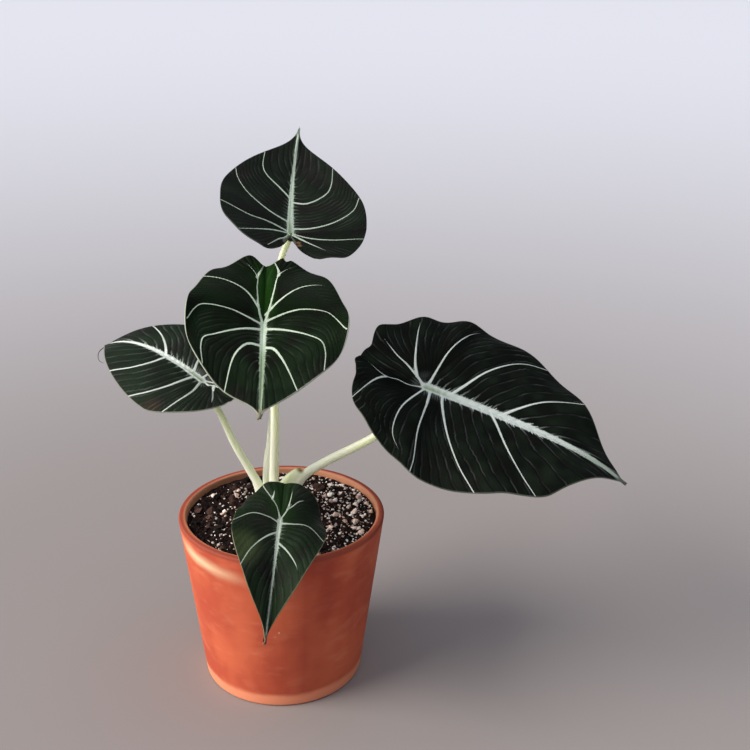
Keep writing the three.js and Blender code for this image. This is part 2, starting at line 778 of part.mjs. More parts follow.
// ---------------------------------------------------------------- stalks
// A round fleshy stalk, thicker at its foot, with the low keel of its sheath drawn up one
// side near the foot. It stands on the crown and ends just under the blade's junction.
function buildStalk(leaf) {
  const frame = leafFrame(leaf);
  const normal = new THREE.Vector3(0, 0, 1).transformDirection(frame);
  const junction = new THREE.Vector3(...leaf.junction);
  const under = BLADE_THICKNESS / 2 + MIDRIB_DOWN + GAP;
  const end = junction.clone().addScaledVector(normal, -under);
  const [foot, ...via] = leaf.stalk;
  const [wide, thin] = leaf.stalkRadii;
  const path = new THREE.CatmullRomCurve3(
    [
      new THREE.Vector3(foot[0], foot[1], STALK_FOOT),
      new THREE.Vector3(foot[0], foot[1], STALK_FOOT + STALK_UPRIGHT),
      ...via.map((p) => new THREE.Vector3(...p)),
      end.clone().addScaledVector(normal, -STALK_NECK),
      end,
    ],
    false,
    "centripetal",
  );
  const [kx, ky, kz, keel] = leaf.sheath;
  const keelSide = new THREE.Vector3(kx, ky, kz).normalize();
  const points = [];
  const faces = [];
  const ring = (i) => i * STALK_SIDES;
  for (let i = 0; i <= STALK_STATIONS; i++) {
    const share = i / STALK_STATIONS;
    const u = share < 0.5 ? share * 0.8 : 0.4 + (share - 0.5) * 1.2;
    const centre = path.getPointAt(u);
    const ahead = path.getTangentAt(u);
    if (i === 0) ahead.set(0, 0, 1);
    if (i === STALK_STATIONS) ahead.copy(normal);
    const first = keelSide.clone().addScaledVector(ahead, -keelSide.dot(ahead)).normalize();
    const second = new THREE.Vector3().crossVectors(ahead, first);
    const radius = thin + (wide - thin) * (1 - smooth(u * 0.9 + 0.1));
    const rise = smooth(u / SHEATH_START) * (1 - smooth((u - SHEATH_END) / SHEATH_FADE));
    for (let j = 0; j < STALK_SIDES; j++) {
      const a = (j * 2 * Math.PI) / STALK_SIDES;
      const narrow = Math.max(0, Math.cos(a)) ** SHEATH_SHARPNESS;
      const reach = radius * (1 + keel * rise * narrow);
      const p = centre.clone().addScaledVector(first, reach * Math.cos(a));
      points.push(p.addScaledVector(second, reach * Math.sin(a)));
    }
  }
  const bottom = points.length;
  points.push(path.getPointAt(0), path.getPointAt(1));
  for (let j = 0; j < STALK_SIDES; j++) {
    const k = (j + 1) % STALK_SIDES;
    for (let i = 0; i < STALK_STATIONS; i++) {
      const a = ring(i);
      const b = ring(i + 1);
      faces.push(a + j, a + k, b + k, a + j, b + k, b + j);
    }
    faces.push(bottom, k, j);
    faces.push(bottom + 1, ring(STALK_STATIONS) + j, ring(STALK_STATIONS) + k);
  }
  const geometry = new THREE.BufferGeometry();
  geometry.setFromPoints(points);
  geometry.setIndex(faces);
  geometry.computeVertexNormals();
  addPiece("stalk_" + leaf.name, geometry, STALK_SKIN);
}

buildPot();
buildSoil();
buildCrown();
for (const leaf of LEAVES) {
  buildStalk(leaf);
  buildBlade(leaf);
}

export default group;
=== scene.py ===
"""A black-velvet alocasia in a terracotta pot.

The camera, floor and light come first. Then the plant is put together as it is potted: the pot, the
potting mix, the crown, the five stalks and the five blades. Sizes are in millimetres, +Z up, from
the centre of the pot's underside, and become metres when a mesh is made.
"""

import math

import bpy
import numpy as np
from mathutils import Matrix, Vector


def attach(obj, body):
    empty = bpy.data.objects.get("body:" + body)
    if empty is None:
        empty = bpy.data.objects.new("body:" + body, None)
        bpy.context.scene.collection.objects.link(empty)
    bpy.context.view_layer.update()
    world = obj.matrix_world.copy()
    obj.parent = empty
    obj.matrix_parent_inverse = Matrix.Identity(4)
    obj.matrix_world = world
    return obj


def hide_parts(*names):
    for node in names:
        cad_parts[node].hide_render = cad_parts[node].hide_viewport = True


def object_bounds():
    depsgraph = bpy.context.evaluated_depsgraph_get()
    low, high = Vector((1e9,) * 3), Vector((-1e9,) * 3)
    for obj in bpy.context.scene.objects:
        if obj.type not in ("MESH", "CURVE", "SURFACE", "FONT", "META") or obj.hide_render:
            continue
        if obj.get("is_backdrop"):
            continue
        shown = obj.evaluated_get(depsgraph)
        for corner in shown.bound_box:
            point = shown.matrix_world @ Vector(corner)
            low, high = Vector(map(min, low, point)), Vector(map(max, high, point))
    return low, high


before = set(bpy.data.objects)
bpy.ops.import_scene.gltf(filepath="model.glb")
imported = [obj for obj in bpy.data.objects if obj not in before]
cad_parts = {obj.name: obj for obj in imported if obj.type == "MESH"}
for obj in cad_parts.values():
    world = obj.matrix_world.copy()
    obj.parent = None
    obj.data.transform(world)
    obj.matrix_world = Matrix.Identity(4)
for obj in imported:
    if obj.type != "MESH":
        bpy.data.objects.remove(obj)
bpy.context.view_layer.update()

# ---------------------------------------------------------------------------------------- camera
# A camera held a little above the plant and turned slightly to the right, looking down into
# the pot. Its lens takes in the whole plant with room on each side.
MM = 0.001
CAMERA_PLACE = (1.5, -574.6, 411.1)
CAMERA_YAW = math.radians(5.15)
CAMERA_PITCH = math.radians(21.2)
CAMERA_ROLL = math.radians(1.02)
CAMERA_LENS = 52.8

ahead = Vector(
    (
        math.sin(CAMERA_YAW) * math.cos(CAMERA_PITCH),
        math.cos(CAMERA_YAW) * math.cos(CAMERA_PITCH),
        -math.sin(CAMERA_PITCH),
    )
)
level = Vector((math.cos(CAMERA_YAW), -math.sin(CAMERA_YAW), 0))
upright = level.cross(ahead)
across = math.cos(CAMERA_ROLL) * level + math.sin(CAMERA_ROLL) * upright
upwards = math.cos(CAMERA_ROLL) * upright - math.sin(CAMERA_ROLL) * level

camera = bpy.data.objects.new("camera", bpy.data.cameras.new("camera"))
camera.data.lens = CAMERA_LENS
camera.data.clip_start = 0.02
camera.data.clip_end = 60
turn = Matrix((across, upwards, -ahead)).transposed()
camera.matrix_world = Matrix.Translation(Vector(CAMERA_PLACE) * MM) @ turn.to_4x4()
bpy.context.scene.collection.objects.link(camera)
bpy.context.scene.camera = camera

# ------------------------------------------------------------------------------- floor and light
# A plain pale floor that pales further off, under an even sky, lit by one wide soft light low on
# the left and a weaker one overhead. None of it is part of the plant.
FLOOR_HALF = 12000
FLOOR_NEAR = (146, 140, 138)
FLOOR_FAR = (213, 217, 226)
PALING_DISTANCE = 900  # away / (away + this) is the share that the floor pales by
PALING_SHARES = (0.2, 0.9)  # the shares where it starts and stops paling
SKY_COLOUR = (226, 228, 238)
SKY_STRENGTH = 0.26
KEY_FROM = (-0.86, -0.21, 0.47)
KEY_SPREAD = 42  # how wide the light looks from the plant, in degrees
KEY_STRENGTH = 4.5
KEY_COLOUR = (255, 247, 238)
TOP_FROM = (0.1, -0.2, 1)
TOP_SPREAD = 80
TOP_STRENGTH = 1.35
TOP_COLOUR = (240, 242, 255)


def tint(red, green, blue):
    """A colour named as the eye reads it, 0 to 255 a channel, turned to linear light."""
    share = np.array([red, green, blue]) / 255
    linear = np.where(share <= 0.04045, share / 12.92, ((share + 0.055) / 1.055) ** 2.4)
    return (*linear.tolist(), 1.0)


class Amount:
    """A value that a material's nodes work out. Arithmetic on it adds the node that does it."""

    def __init__(self, socket):
        self.socket = socket
        self.tree = socket.id_data

    def __add__(self, other):
        return work("ADD", self, other)

    def __sub__(self, other):
        return work("SUBTRACT", self, other)

    def __rsub__(self, other):
        return work("SUBTRACT", other, self)

    def __mul__(self, other):
        return work("MULTIPLY", self, other)

    def __truediv__(self, other):
        return work("DIVIDE", self, other)

    def __abs__(self):
        return work("ABSOLUTE", self)


def put(tree, kind, sockets=None, output=0, **settings):
    """Add one shader node, set what it is, and fill or join its sockets by name or number.
    Returns the value of one of its outputs."""
    node = tree.nodes.new("ShaderNode" + kind)
    for key, value in settings.items():
        setattr(node, key, value)
    for socket, value in (sockets or {}).items():
        if isinstance(value, Amount):
            tree.links.new(value.socket, node.inputs[socket])
        else:
            node.inputs[socket].default_value = value
    return Amount(node.outputs[output])


def work(operation, first, second=0.0):
    """Arithmetic on two values, either of which may be a plain number."""
    tree = (first if isinstance(first, Amount) else second).tree
    return put(tree, "Math", {0: first, 1: second}, operation=operation)


def join(surface, socket, value):
    """Feed a value to one socket of a surface shader."""
    value.tree.links.new(value.socket, surface.inputs[socket])


def finish(name, colour, roughness, **uniform):
    """A plain opaque finish of a colour. Returns its material, node tree and surface shader."""
    material = bpy.data.materials.new(name)
    material.use_nodes = True
    surface = material.node_tree.nodes["Principled BSDF"]
    surface.inputs["Base Color"].default_value = tint(*colour)
    surface.inputs["Roughness"].default_value = roughness
    for socket, value in uniform.items():
        surface.inputs[socket.replace("_", " ")].default_value = value
    return material, material.node_tree, surface


def add_mesh(name, points, faces, *materials):
    """A smooth mesh object from points in millimetres and blocks of faces, each an array."""
    mesh = bpy.data.meshes.new(name)
    corners = [face for block in faces for face in block.tolist()]
    mesh.from_pydata((points * MM).tolist(), [], corners)
    for material in materials:
        mesh.materials.append(material)
    mesh.shade_smooth()
    thing = bpy.data.objects.new(name, mesh)
    bpy.context.scene.collection.objects.link(thing)
    return thing


def add_light(name, towards, spread, strength, colour):
    """A far-off soft light that shines from one direction, so that it is as strong everywhere."""
    light = bpy.data.lights.new(name, "SUN")
    light.angle = math.radians(spread)
    light.energy = strength
    light.color = tint(*colour)[:3]
    lamp = bpy.data.objects.new(name, light)
    lamp.rotation_euler = Vector(towards).to_track_quat("Z", "Y").to_euler()
    bpy.context.scene.collection.objects.link(lamp)


def millimetres(tree):
    """The piece's own coordinates in millimetres."""
    place = put(tree, "TexCoord", output="Object")
    return put(tree, "VectorMath", {0: place, "Scale": 1 / MM}, operation="SCALE")


def ease(value, low, high, to_low=0, to_high=1):
    """A value carried smoothly from one level, at low, to another, at high."""
    sockets = {0: value, 1: low, 2: high, 3: to_low, 4: to_high}
    return put(value.tree, "MapRange", sockets, interpolation_type="SMOOTHSTEP")


def paint(cover, under, over):
    """One colour laid over another where the cover is 1. Each may be a plain colour."""
    under, over = (tint(*side) if isinstance(side, tuple) else side for side in (under, over))
    return put(cover.tree, "Mix", {0: cover, 6: under, 7: over}, 2, data_type="RGBA")


def pale_floor():
    """A matt floor, mid grey round the plant and paler with the distance from it."""
    material, tree, surface = finish("table_top", FLOOR_NEAR, 0.7)
    away = put(tree, "VectorMath", {0: millimetres(tree)}, "Value", operation="LENGTH")
    far = ease(away / (away + PALING_DISTANCE), *PALING_SHARES)
    join(surface, "Base Color", paint(far, FLOOR_NEAR, FLOOR_FAR))
    return material


corner = np.array([[-1, -1, 0], [1, -1, 0], [1, 1, 0], [-1, 1, 0]]) * FLOOR_HALF
floor = add_mesh("floor", corner, [np.array([[0, 1, 2, 3]])], pale_floor())
floor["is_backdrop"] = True

add_light("key_light", KEY_FROM, KEY_SPREAD, KEY_STRENGTH, KEY_COLOUR)
add_light("top_light", TOP_FROM, TOP_SPREAD, TOP_STRENGTH, TOP_COLOUR)
sky = bpy.data.worlds.new("sky")
sky.use_nodes = True
dome = sky.node_tree.nodes["Background"].inputs
dome["Color"].default_value = tint(*SKY_COLOUR)
dome["Strength"].default_value = SKY_STRENGTH
bpy.context.scene.world = sky
bpy.context.scene.view_settings.view_transform = "Standard"

# ------------------------------------------------------------------------------------------- pot
# A 12 cm terracotta pot, thrown as one straight cone wall with a small rounded lip, with three
# drain holes cut in its floor. It stands on its flat foot. The dry clay is mottled, darker on the
# front with painted shade, and paler round the foot, with a painted streak of light under the rim.
POT_HEIGHT = 103.5
RIM_RADIUS = 60
FOOT_RADIUS = 47
POT_WALL = 4.4
POT_FLOOR = 7
LIP_ROUND = 1.3
FOOT_ROUND = 2.2
FLOOR_CORNER = 5  # height of the slope between the wall and the floor, inside
FLOOR_SLOPE = 4  # and how far it runs inwards
ROUND_STEPS = 8  # points on the round of the lip and the foot
PROFILE_STEP = 3
POT_SIDES = 180
DRAIN_HOLE_RADIUS = 4.5
DRAIN_HOLE_CENTRES = 22  # radius of the ring the drain holes stand on
DRAIN_HOLES = 3
DRILL_SIDES = 32
DRILL_ENDS = (-5, 14)  # the drill passes right through the floor

CLAY = (206, 100, 66)
CLAY_DARK = (184, 78, 52)
CLAY_PALE = (216, 126, 94)
CLAY_PAINTED_SHADE = (160, 60, 42)
CLAY_FOOT = (240, 152, 114)
CLAY_INSIDE = (200, 138, 106)
CLAY_LIP = (146, 66, 48)
# Pale lime for the flecks, and the colour of the painted streak of light under the rim.
LIME_AND_PAINTED_LIGHT = (252, 222, 178)
FOOT_BAND = (8.5, 13)  # heights between which the paler band round the foot dies out
# Painted shade: a darker patch on the front of the pot.
SHADE_PATCH_ANGLE = -1.35  # the dark patch lies round this angle, in radians from the right
SHADE_PATCH_EDGE = (0.25, 0.77)  # and fades between these two angles to each side
LIP_BAND = (3.2, 1.2)  # the lip darkens between these depths below the rim
# The streak under the rim is a painted patch of light.
LIGHT_STREAK_HEIGHT = 76.8  # the streak's height on the right, at an angle of 0
LIGHT_STREAK_SLANT = -6.5  # and its rise for each radian
LIGHT_STREAK_EDGE = (1.8, 9)
LIGHT_STREAK_START = (-3, -2.5)  # it comes in and dies out between these angles
LIGHT_STREAK_STOP = (-2.5, -1.75)
FLAWS = ((-2.6, -53.9, 55.1, 1), (-4.9, -53.3, 52.2, 0.7))  # place and radius of pale flecks


def arc(radius, height, round_radius, start, stop, steps):
    """Points of an arc in the profile plane, from one angle in degrees to another."""
    turn = np.radians(np.linspace(start, stop, steps))
    return np.stack([np.cos(turn), np.sin(turn)], -1) * round_radius + [radius, height]


def outer_radius(height):
    """Radius of the pot's outside, which widens evenly from the foot to the rim."""
    return FOOT_RADIUS + (RIM_RADIUS - FOOT_RADIUS) * height / POT_HEIGHT


def inner_radius(height):
    """Radius of the pot's inside, one wall thickness in from the outside."""
    return outer_radius(height) - POT_WALL


def turned(profile, sides):
    """Turn a profile of radius and height pairs round the upright axis: one ring for each pair."""
    angles = np.linspace(0, 2 * np.pi, sides, endpoint=False)
    radius, height = profile[:, :1], profile[:, 1:] + 0 * angles
    return np.stack([radius * np.cos(angles), radius * np.sin(angles), height], -1)


def skin_over(rings, first, last):
    """Points and faces of a closed skin over rings of equally many points, one ring after the
    other, with a fan of faces from the first ring to one point and from the last to another."""
    count, sides, _ = rings.shape
    here = np.arange(count * sides).reshape(count, sides)
    beside = np.roll(here, -1, axis=1)
    start = np.full(sides, count * sides)
    walls = np.stack([here[:-1], beside[:-1], beside[1:], here[1:]], -1).reshape(-1, 4)
    start_fan = np.stack([start, beside[0], here[0]], -1)
    end_fan = np.stack([start + 1, here[-1], beside[-1]], -1)
    points = np.concatenate([rings.reshape(-1, 3), [first, last]])
    return points, [walls, start_fan, end_fan]


def along_profile(profile, step):
    """The same profile with points no further apart than a step, so its shading is even."""
    lengths = np.hypot(*np.diff(profile, axis=0).T)
    travelled = np.concatenate([[0], np.cumsum(lengths)])
    wanted = np.unique(np.concatenate([travelled, np.arange(0, travelled[-1], step)]))
    return np.stack([np.interp(wanted, travelled, profile[:, k]) for k in (0, 1)], -1)


def mottle(place, size, detail=4, stretch=(1, 1, 1)):
    """Soft cloudy noise from 0 to 1 with patches of about a size, drawn out along an axis."""
    drawn = put(place.tree, "VectorMath", {0: place, 1: stretch}, operation="MULTIPLY")
    return put(place.tree, "TexNoise", {"Vector": drawn, "Scale": 1 / size, "Detail": detail})


def parts(vector):
    """The three numbers of a vector."""
    first = put(vector.tree, "SeparateXYZ", {0: vector})
    return [Amount(socket) for socket in first.socket.node.outputs]


def apart(first, second):
    """Distance between two places."""
    return put(first.tree, "VectorMath", {0: first, 1: second}, "Value", operation="DISTANCE")


def relief(surface, height, depth, strength=1.0):
    """Small relief of a depth in millimetres, as bump."""
    sockets = {"Height": height, "Distance": depth * MM, "Strength": strength}
    join(surface, "Normal", put(height.tree, "Bump", sockets))


def terracotta():
    """Fired clay: cloudy orange, paler at the foot and on the inside, darker on the lip, with
    painted shade on the front and a painted streak of light on the front left just below the rim."""
    material, tree, surface = finish("terracotta", CLAY, 0.78, Specular_IOR_Level=0.35)
    place = millimetres(tree)
    x, y, z = parts(place)
    clouds = mottle(place, 46, 3, (1.3, 1.3, 1))
    smears = mottle(place, 16, 4, (1, 1, 2.6))
    grain = mottle(place, 0.9, 2)
    colour = paint(ease(clouds, 0.36, 0.62), CLAY_DARK, CLAY)
    colour = paint(ease(smears, 0.48, 0.75) * 0.4, colour, CLAY_PALE)

    angle = work("ARCTAN2", y, x)
    # Painted shade darkens the front of the pot round one angle.
    beside = abs(angle - SHADE_PATCH_ANGLE) + clouds * 0.7
    colour = paint(ease(beside, *SHADE_PATCH_EDGE, 0.75, 0), colour, CLAY_PAINTED_SHADE)

    waver = smears * 5
    colour = paint(ease(z + waver, *FOOT_BAND, 0.9, 0), colour, CLAY_FOOT)

    flat = put(tree, "CombineXYZ", {0: x, 1: y})
    radius = put(tree, "VectorMath", {0: flat}, "Value", operation="LENGTH")
    depth = z * ((RIM_RADIUS - FOOT_RADIUS) / POT_HEIGHT) + FOOT_RADIUS - radius
    colour = paint(ease(depth, POT_WALL * 0.6, POT_WALL * 0.9), colour, CLAY_INSIDE)
    lip = ease(z, *(POT_HEIGHT - below for below in LIP_BAND))
    lip = lip * ease(depth, POT_WALL * 0.4, POT_WALL * 0.8, 0.85, 0)
    colour = paint(lip, colour, CLAY_LIP)

    # Painted light: a pale streak just below the rim on the front left.
    away = abs(z - (angle * LIGHT_STREAK_SLANT + LIGHT_STREAK_HEIGHT))
    painted_light_streak = ease(away + waver, *LIGHT_STREAK_EDGE, 0.9, 0)
    painted_light_streak = painted_light_streak * (ease(angle, *LIGHT_STREAK_START) * ease(angle, *LIGHT_STREAK_STOP, 1, 0))
    colour = paint(painted_light_streak * ease(depth, 1, 2, 0.9, 0), colour, LIME_AND_PAINTED_LIGHT)
    for *flaw, size in FLAWS:
        near = apart(place, tuple(flaw)) + grain
        colour = paint(ease(near, 0.4 * size, 0.5 + size, 0.6, 0), colour, LIME_AND_PAINTED_LIGHT)
    join(surface, "Base Color", colour)
    relief(surface, grain + smears * 1.5, 0.12, 0.6)
    return material


wall_lean = math.degrees(math.atan2(RIM_RADIUS - FOOT_RADIUS, POT_HEIGHT))
lip_middle = POT_HEIGHT - LIP_ROUND
foot_edge = FOOT_RADIUS - FOOT_ROUND * 0.9
lip_outside, lip_inside = outer_radius(lip_middle), inner_radius(lip_middle)
corner_height = POT_FLOOR + FLOOR_CORNER
profile = np.concatenate(
    [
        arc(foot_edge, FOOT_ROUND, FOOT_ROUND, -90, -wall_lean, ROUND_STEPS),
        arc(lip_outside - LIP_ROUND, lip_middle, LIP_ROUND, -wall_lean, 90, ROUND_STEPS),
        arc(lip_inside + LIP_ROUND, lip_middle, LIP_ROUND, 90, 180 - wall_lean, ROUND_STEPS),
        [[inner_radius(corner_height), corner_height]],
        [[inner_radius(POT_FLOOR) - FLOOR_SLOPE, POT_FLOOR]],
    ]
)
rings = turned(along_profile(profile, PROFILE_STEP), POT_SIDES)
points, faces = skin_over(rings, [0, 0, 0], [0, 0, POT_FLOOR])
pot = add_mesh("terracotta_pot", points, faces, terracotta())
for hole in range(DRAIN_HOLES):
    around = 2 * math.pi * hole / DRAIN_HOLES + math.pi / 2
    shift = [DRAIN_HOLE_CENTRES * math.cos(around), DRAIN_HOLE_CENTRES * math.sin(around), 0]
    rings = turned(np.array([[DRAIN_HOLE_RADIUS, height] for height in DRILL_ENDS]), DRILL_SIDES)
    points, faces = skin_over(rings, *([0, 0, height] for height in DRILL_ENDS))
    drill = add_mesh("drill", points + shift, faces)
    cut = pot.modifiers.new("drain_hole", "BOOLEAN")
    cut.operation = "DIFFERENCE"
    cut.object = drill
    bpy.context.view_layer.update()
    whole = pot.evaluated_get(bpy.context.evaluated_depsgraph_get())
    drilled = bpy.data.meshes.new_from_object(whole)
    pot.modifiers.clear()
    pot.data = drilled
    bpy.data.objects.remove(drill)
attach(pot, "root")
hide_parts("pot")

# ----------------------------------------------------------------------------------- potting mix
# Dark composted bark and peat that fills the pot to a few millimetres below its rim, with
# crumbs, chips of bark, grains of white perlite and pinkish pumice lying loose in its top.
SOIL_LEVEL = 98.3
SOIL_SIDES = 240
SOIL_RINGS = 70
SOIL_CLEARANCE = 0.3
PEAT_RISE = 1.6
PEAT_LUMPS = ((0.6, 9), (0.35, 3.4), (0.2, 1.5))  # height and size of each kind of lump
PEAT_TONE = 0.14
PEAT_TONE_CHANGE = 0.16
PEAT_TONE_SIZE = 2.2
CROWN_X = -4
CROWN_Y = -1.5
CROWN_CLEARANCE = 11  # no loose bits lie nearer to the middle of the crown
EVEN_SHARE = 0.45  # share of the tries that is kept where the bits lie evenly
LEAST_SHARE = 0.03
CLUMPING = 0.45
CLUMP_SIZE = 10
CLUMP_SHIFT = 40  # so that the clumps don't follow the lumps of the peat
BIT_UNEVEN = 0.7  # range over which the corners of a bit move, in radii
BIT_SQUASH = 0.6  # and over which its length, width and height change
BIT_LONGER = 1.3
BIT_TIPPING = 1.6  # range of its tilt in radians
PEAT = (30, 20, 17)
MIX_STOPS = [
    (0.0, (9, 6, 6)),
    (0.3, (40, 23, 19)),
    (0.5, (74, 55, 49)),
    (0.66, (134, 104, 94)),
    (0.82, (230, 202, 188)),
    (1.0, (255, 252, 246)),
]
LATTICE = 64
LATTICE_START = (31.5, 17.25)

chance = np.random.default_rng(41)
lattice = chance.random((LATTICE, LATTICE))


def lumps(x, y, size):
    """Smooth random heights from -1 to 1, with one bump about every size: random values at the
    corners of a square grid, blended over each square with an eased weight."""
    u, v = x / size + LATTICE_START[0], y / size + LATTICE_START[1]
    i, j = np.floor(u).astype(int), np.floor(v).astype(int)
    a, b = u - i, v - j
    a, b = a * a * (3 - 2 * a), b * b * (3 - 2 * b)
    i, next_i, j, next_j = (k % LATTICE for k in (i, i + 1, j, j + 1))
    here = lattice[i, j] * (1 - a) + lattice[next_i, j] * a
    beyond = lattice[i, next_j] * (1 - a) + lattice[next_i, next_j] * a
    return 2 * (here * (1 - b) + beyond * b) - 1


def peat_height(x, y):
    """Height of the peat: its level plus lumps of three sizes."""
    rough = sum(height * lumps(x, y, size) for height, size in PEAT_LUMPS)
    return SOIL_LEVEL + PEAT_RISE + rough


def carried(tree, name, output="Fac"):
    """The number, or the vector, kept with each point of a mesh under a name."""
    return put(tree, "Attribute", output=output, attribute_name=name)


def grit():
    """Bits of mix whose colour runs through the stops from dark to pale by each bit's tone."""
    material, tree, surface = finish("potting_mix", PEAT, 0.92, Specular_IOR_Level=0.2)
    place = millimetres(tree)
    tone = carried(tree, "tone") + (mottle(place, 0.8) - 0.5) * 0.26
    ramp = put(tree, "ValToRGB", {0: tone})
    spare = ramp.socket.node.color_ramp.elements
    while len(spare) < len(MIX_STOPS):
        spare.new(0.5)
    for element, (position, colour) in zip(spare, MIX_STOPS):
        element.position = position
        element.color = tint(*colour)
    join(surface, "Base Color", ramp)
    relief(surface, mottle(place, 0.5), 0.3, 0.8)
    return material


def give(thing, name, values):
    """Keep one number, or one vector, for each point of a mesh under a name."""
    kind = "FLOAT" if values.ndim == 1 else "FLOAT_VECTOR"
    attribute = thing.data.attributes.new(name, kind, "POINT")
    target = "value" if values.ndim == 1 else "vector"
    attribute.data.foreach_set(target, values.astype(np.float32).ravel())


def mount_soil(piece):
    """The potting mix rides in the pot and stands for the plain soil."""
    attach(piece, "root")
    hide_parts("soil")


potting_mix = grit()
wall = inner_radius(SOIL_LEVEL) - SOIL_CLEARANCE
radii = np.linspace(1, wall, SOIL_RINGS)[::-1]
top = turned(np.stack([radii, np.full(SOIL_RINGS, SOIL_LEVEL)], -1), SOIL_SIDES)
top[..., 2] = peat_height(top[..., 0], top[..., 1])
low = POT_FLOOR + SOIL_CLEARANCE
edge = [inner_radius(low) - FLOOR_SLOPE - SOIL_CLEARANCE, low]
side = [inner_radius(low + FLOOR_CORNER) - SOIL_CLEARANCE, low + FLOOR_CORNER]
rings = np.concatenate([turned(np.array([edge, side]), SOIL_SIDES), top])
points, faces = skin_over(rings, [0, 0, low], [0, 0, float(peat_height(0.0, 0.0))])
peat = add_mesh("potting_mix_peat", points, faces, potting_mix)
stains = lumps(points[:, 0], points[:, 1], PEAT_TONE_SIZE)
give(peat, "tone", PEAT_TONE + PEAT_TONE_CHANGE * stains)
mount_soil(peat)


def pebble(splits):
    """Points and faces of a ball of twenty triangles, each split in four as often as asked."""
    gold = (1 + 5**0.5) / 2
    base = [(0, 1, gold), (0, -1, gold), (0, 1, -gold), (0, -1, -gold)]
    points = np.concatenate([np.roll(np.array(base, float), -turn, 1) for turn in range(3)])
    points /= np.linalg.norm(points[0])
    gaps = np.linalg.norm(points[:, None] - points, axis=-1)
    near = gaps < 1.1  # an edge is 1.05 long, and other corners are further apart
    a, b, c = np.nonzero(near[:, :, None] & near[:, None, :] & near[None, :, :])
    keep = (a < b) & (b < c)
    faces = np.stack([a[keep], b[keep], c[keep]], -1)
    facing = np.linalg.det(points[faces])
    faces[facing < 0] = faces[facing < 0][:, ::-1]
    for _ in range(splits):
        edges = np.sort(np.stack([faces, np.roll(faces, -1, 1)], -1).reshape(-1, 2), -1)
        edges, back = np.unique(edges, axis=0, return_inverse=True)
        middle = points[edges].mean(1)
        middle /= np.linalg.norm(middle, axis=1, keepdims=True)
        new = back.reshape(-1, 3) + len(points)
        points = np.concatenate([points, middle])
        p, q, r = faces.T
        x, y, z = new.T
        quarters = ((p, x, z), (x, q, y), (z, y, r), (x, y, z))
        faces = np.concatenate([np.stack(quarter, -1) for quarter in quarters])
    return points, faces


def scatter(name, count, small, large, flatness, tones, splits, lean, stand):
    """Loose bits lying in the top of the peat, all in one mesh. Each is a pebble with its
    corners moved in and out at random, squashed and turned. Lean says how many more of them lie
    on the right-hand side than on the left, and in clumps. Stand says how high the middle of
    each lies over the peat, as a share of half its height."""
    ball, ball_faces = pebble(splits)
    tries = chance.random((count * 8, 3))
    radius = (wall - large) * np.sqrt(tries[:, 0])
    angle = 2 * np.pi * tries[:, 1]
    x, y = radius * np.cos(angle), radius * np.sin(angle)
    clumps = CLUMPING * lumps(x + CLUMP_SHIFT, y, CLUMP_SIZE)
    share = np.clip(EVEN_SHARE + lean * (x / wall + clumps), LEAST_SHARE, 1)
    clear = np.hypot(x - CROWN_X, y - CROWN_Y) > CROWN_CLEARANCE
    chosen = np.nonzero((tries[:, 2] < share) & clear)[0][:count]
    x, y = x[chosen], y[chosen]
    count = len(chosen)
    size = small + (large - small) * chance.random(count) ** 2
    shape = ball * (1 + BIT_UNEVEN * (chance.random((count, len(ball), 1)) - 0.5))
    shape = shape * (1 + BIT_SQUASH * (chance.random((count, 1, 3)) - 0.5))
    shape = shape * [BIT_LONGER, 1, flatness]
    spin = 2 * np.pi * chance.random(count)
    tip = BIT_TIPPING * (chance.random(count) - 0.5)
    c, s, ct, st = np.cos(spin), np.sin(spin), np.cos(tip), np.sin(tip)
    zero = 0 * c
    tilt = np.stack([ct, zero, st, zero, 1 + zero, zero, -st, zero, ct], -1).reshape(-1, 3, 3)
    yaw = np.stack([c, -s, zero, s, c, zero, zero, zero, 1 + zero], -1).reshape(-1, 3, 3)
    shape = np.einsum("nij,njk,nvk->nvi", yaw, tilt, shape) * size[:, None, None]
    centre = np.stack([x, y, peat_height(x, y) + size * flatness * stand], -1)
    points = (shape + centre[:, None]).reshape(-1, 3)
    faces = (ball_faces + len(ball) * np.arange(count)[:, None, None]).reshape(-1, 3)
    bits = add_mesh(name, points, [faces], potting_mix)
    bits.data.shade_flat()
    tone = tones[0] + (tones[1] - tones[0]) * chance.random(count)
    give(bits, "tone", np.repeat(tone, len(ball)))
    mount_soil(bits)


# Each has a number, a least and a greatest radius, a flatness, a range of tones, the splits of its
# pebble, a lean and a stand.
scatter("potting_mix_crumbs", 6000, 0.4, 1.2, 0.8, (0.0, 0.4), 0, 0.1, 0.4)
scatter("potting_mix_bark", 90, 1.2, 3.2, 0.5, (0.0, 0.55), 1, -0.3, 0.5)
scatter("potting_mix_perlite", 1700, 0.25, 0.8, 0.85, (0.76, 1.05), 0, 0.34, 0.9)
scatter("potting_mix_pumice", 150, 0.6, 1.9, 0.8, (0.72, 1.0), 0, 0.75, 0.8)

# ----------------------------------------------------------------------------------------- crown
# The short thick stem that the leaves grow from. It stands in the potting mix, ringed by the
# scars of old leaves, and only its top shows between the feet of the stalks.
CROWN_RADIUS = 12
CROWN_TOP = 100.7
CROWN_FOOT = 72
CROWN_FOOT_SHARE = 0.72  # radius at the foot as a share of the full radius
CROWN_RINGS = 7
CROWN_STEPS = 60
CROWN_SIDES = 64
CROWN_BEVEL = 1.2
SCAR_DEPTH = 0.6  # of the grooves between leaf scars
CROWN_SKIN = (150, 146, 98)
CROWN_SCAR = (92, 70, 44)


def crown_finish():
    """Pale green-brown skin with brown scars that run round it."""
    material, tree, surface = finish("crown_skin", CROWN_SKIN, 0.7)
    rings = mottle(millimetres(tree), 3.2, 3, (0.3, 0.3, 1.6))
    join(surface, "Base Color", paint(ease(rings, 0.42, 0.6), CROWN_SKIN, CROWN_SCAR))
    relief(surface, rings, 0.4)
    return material


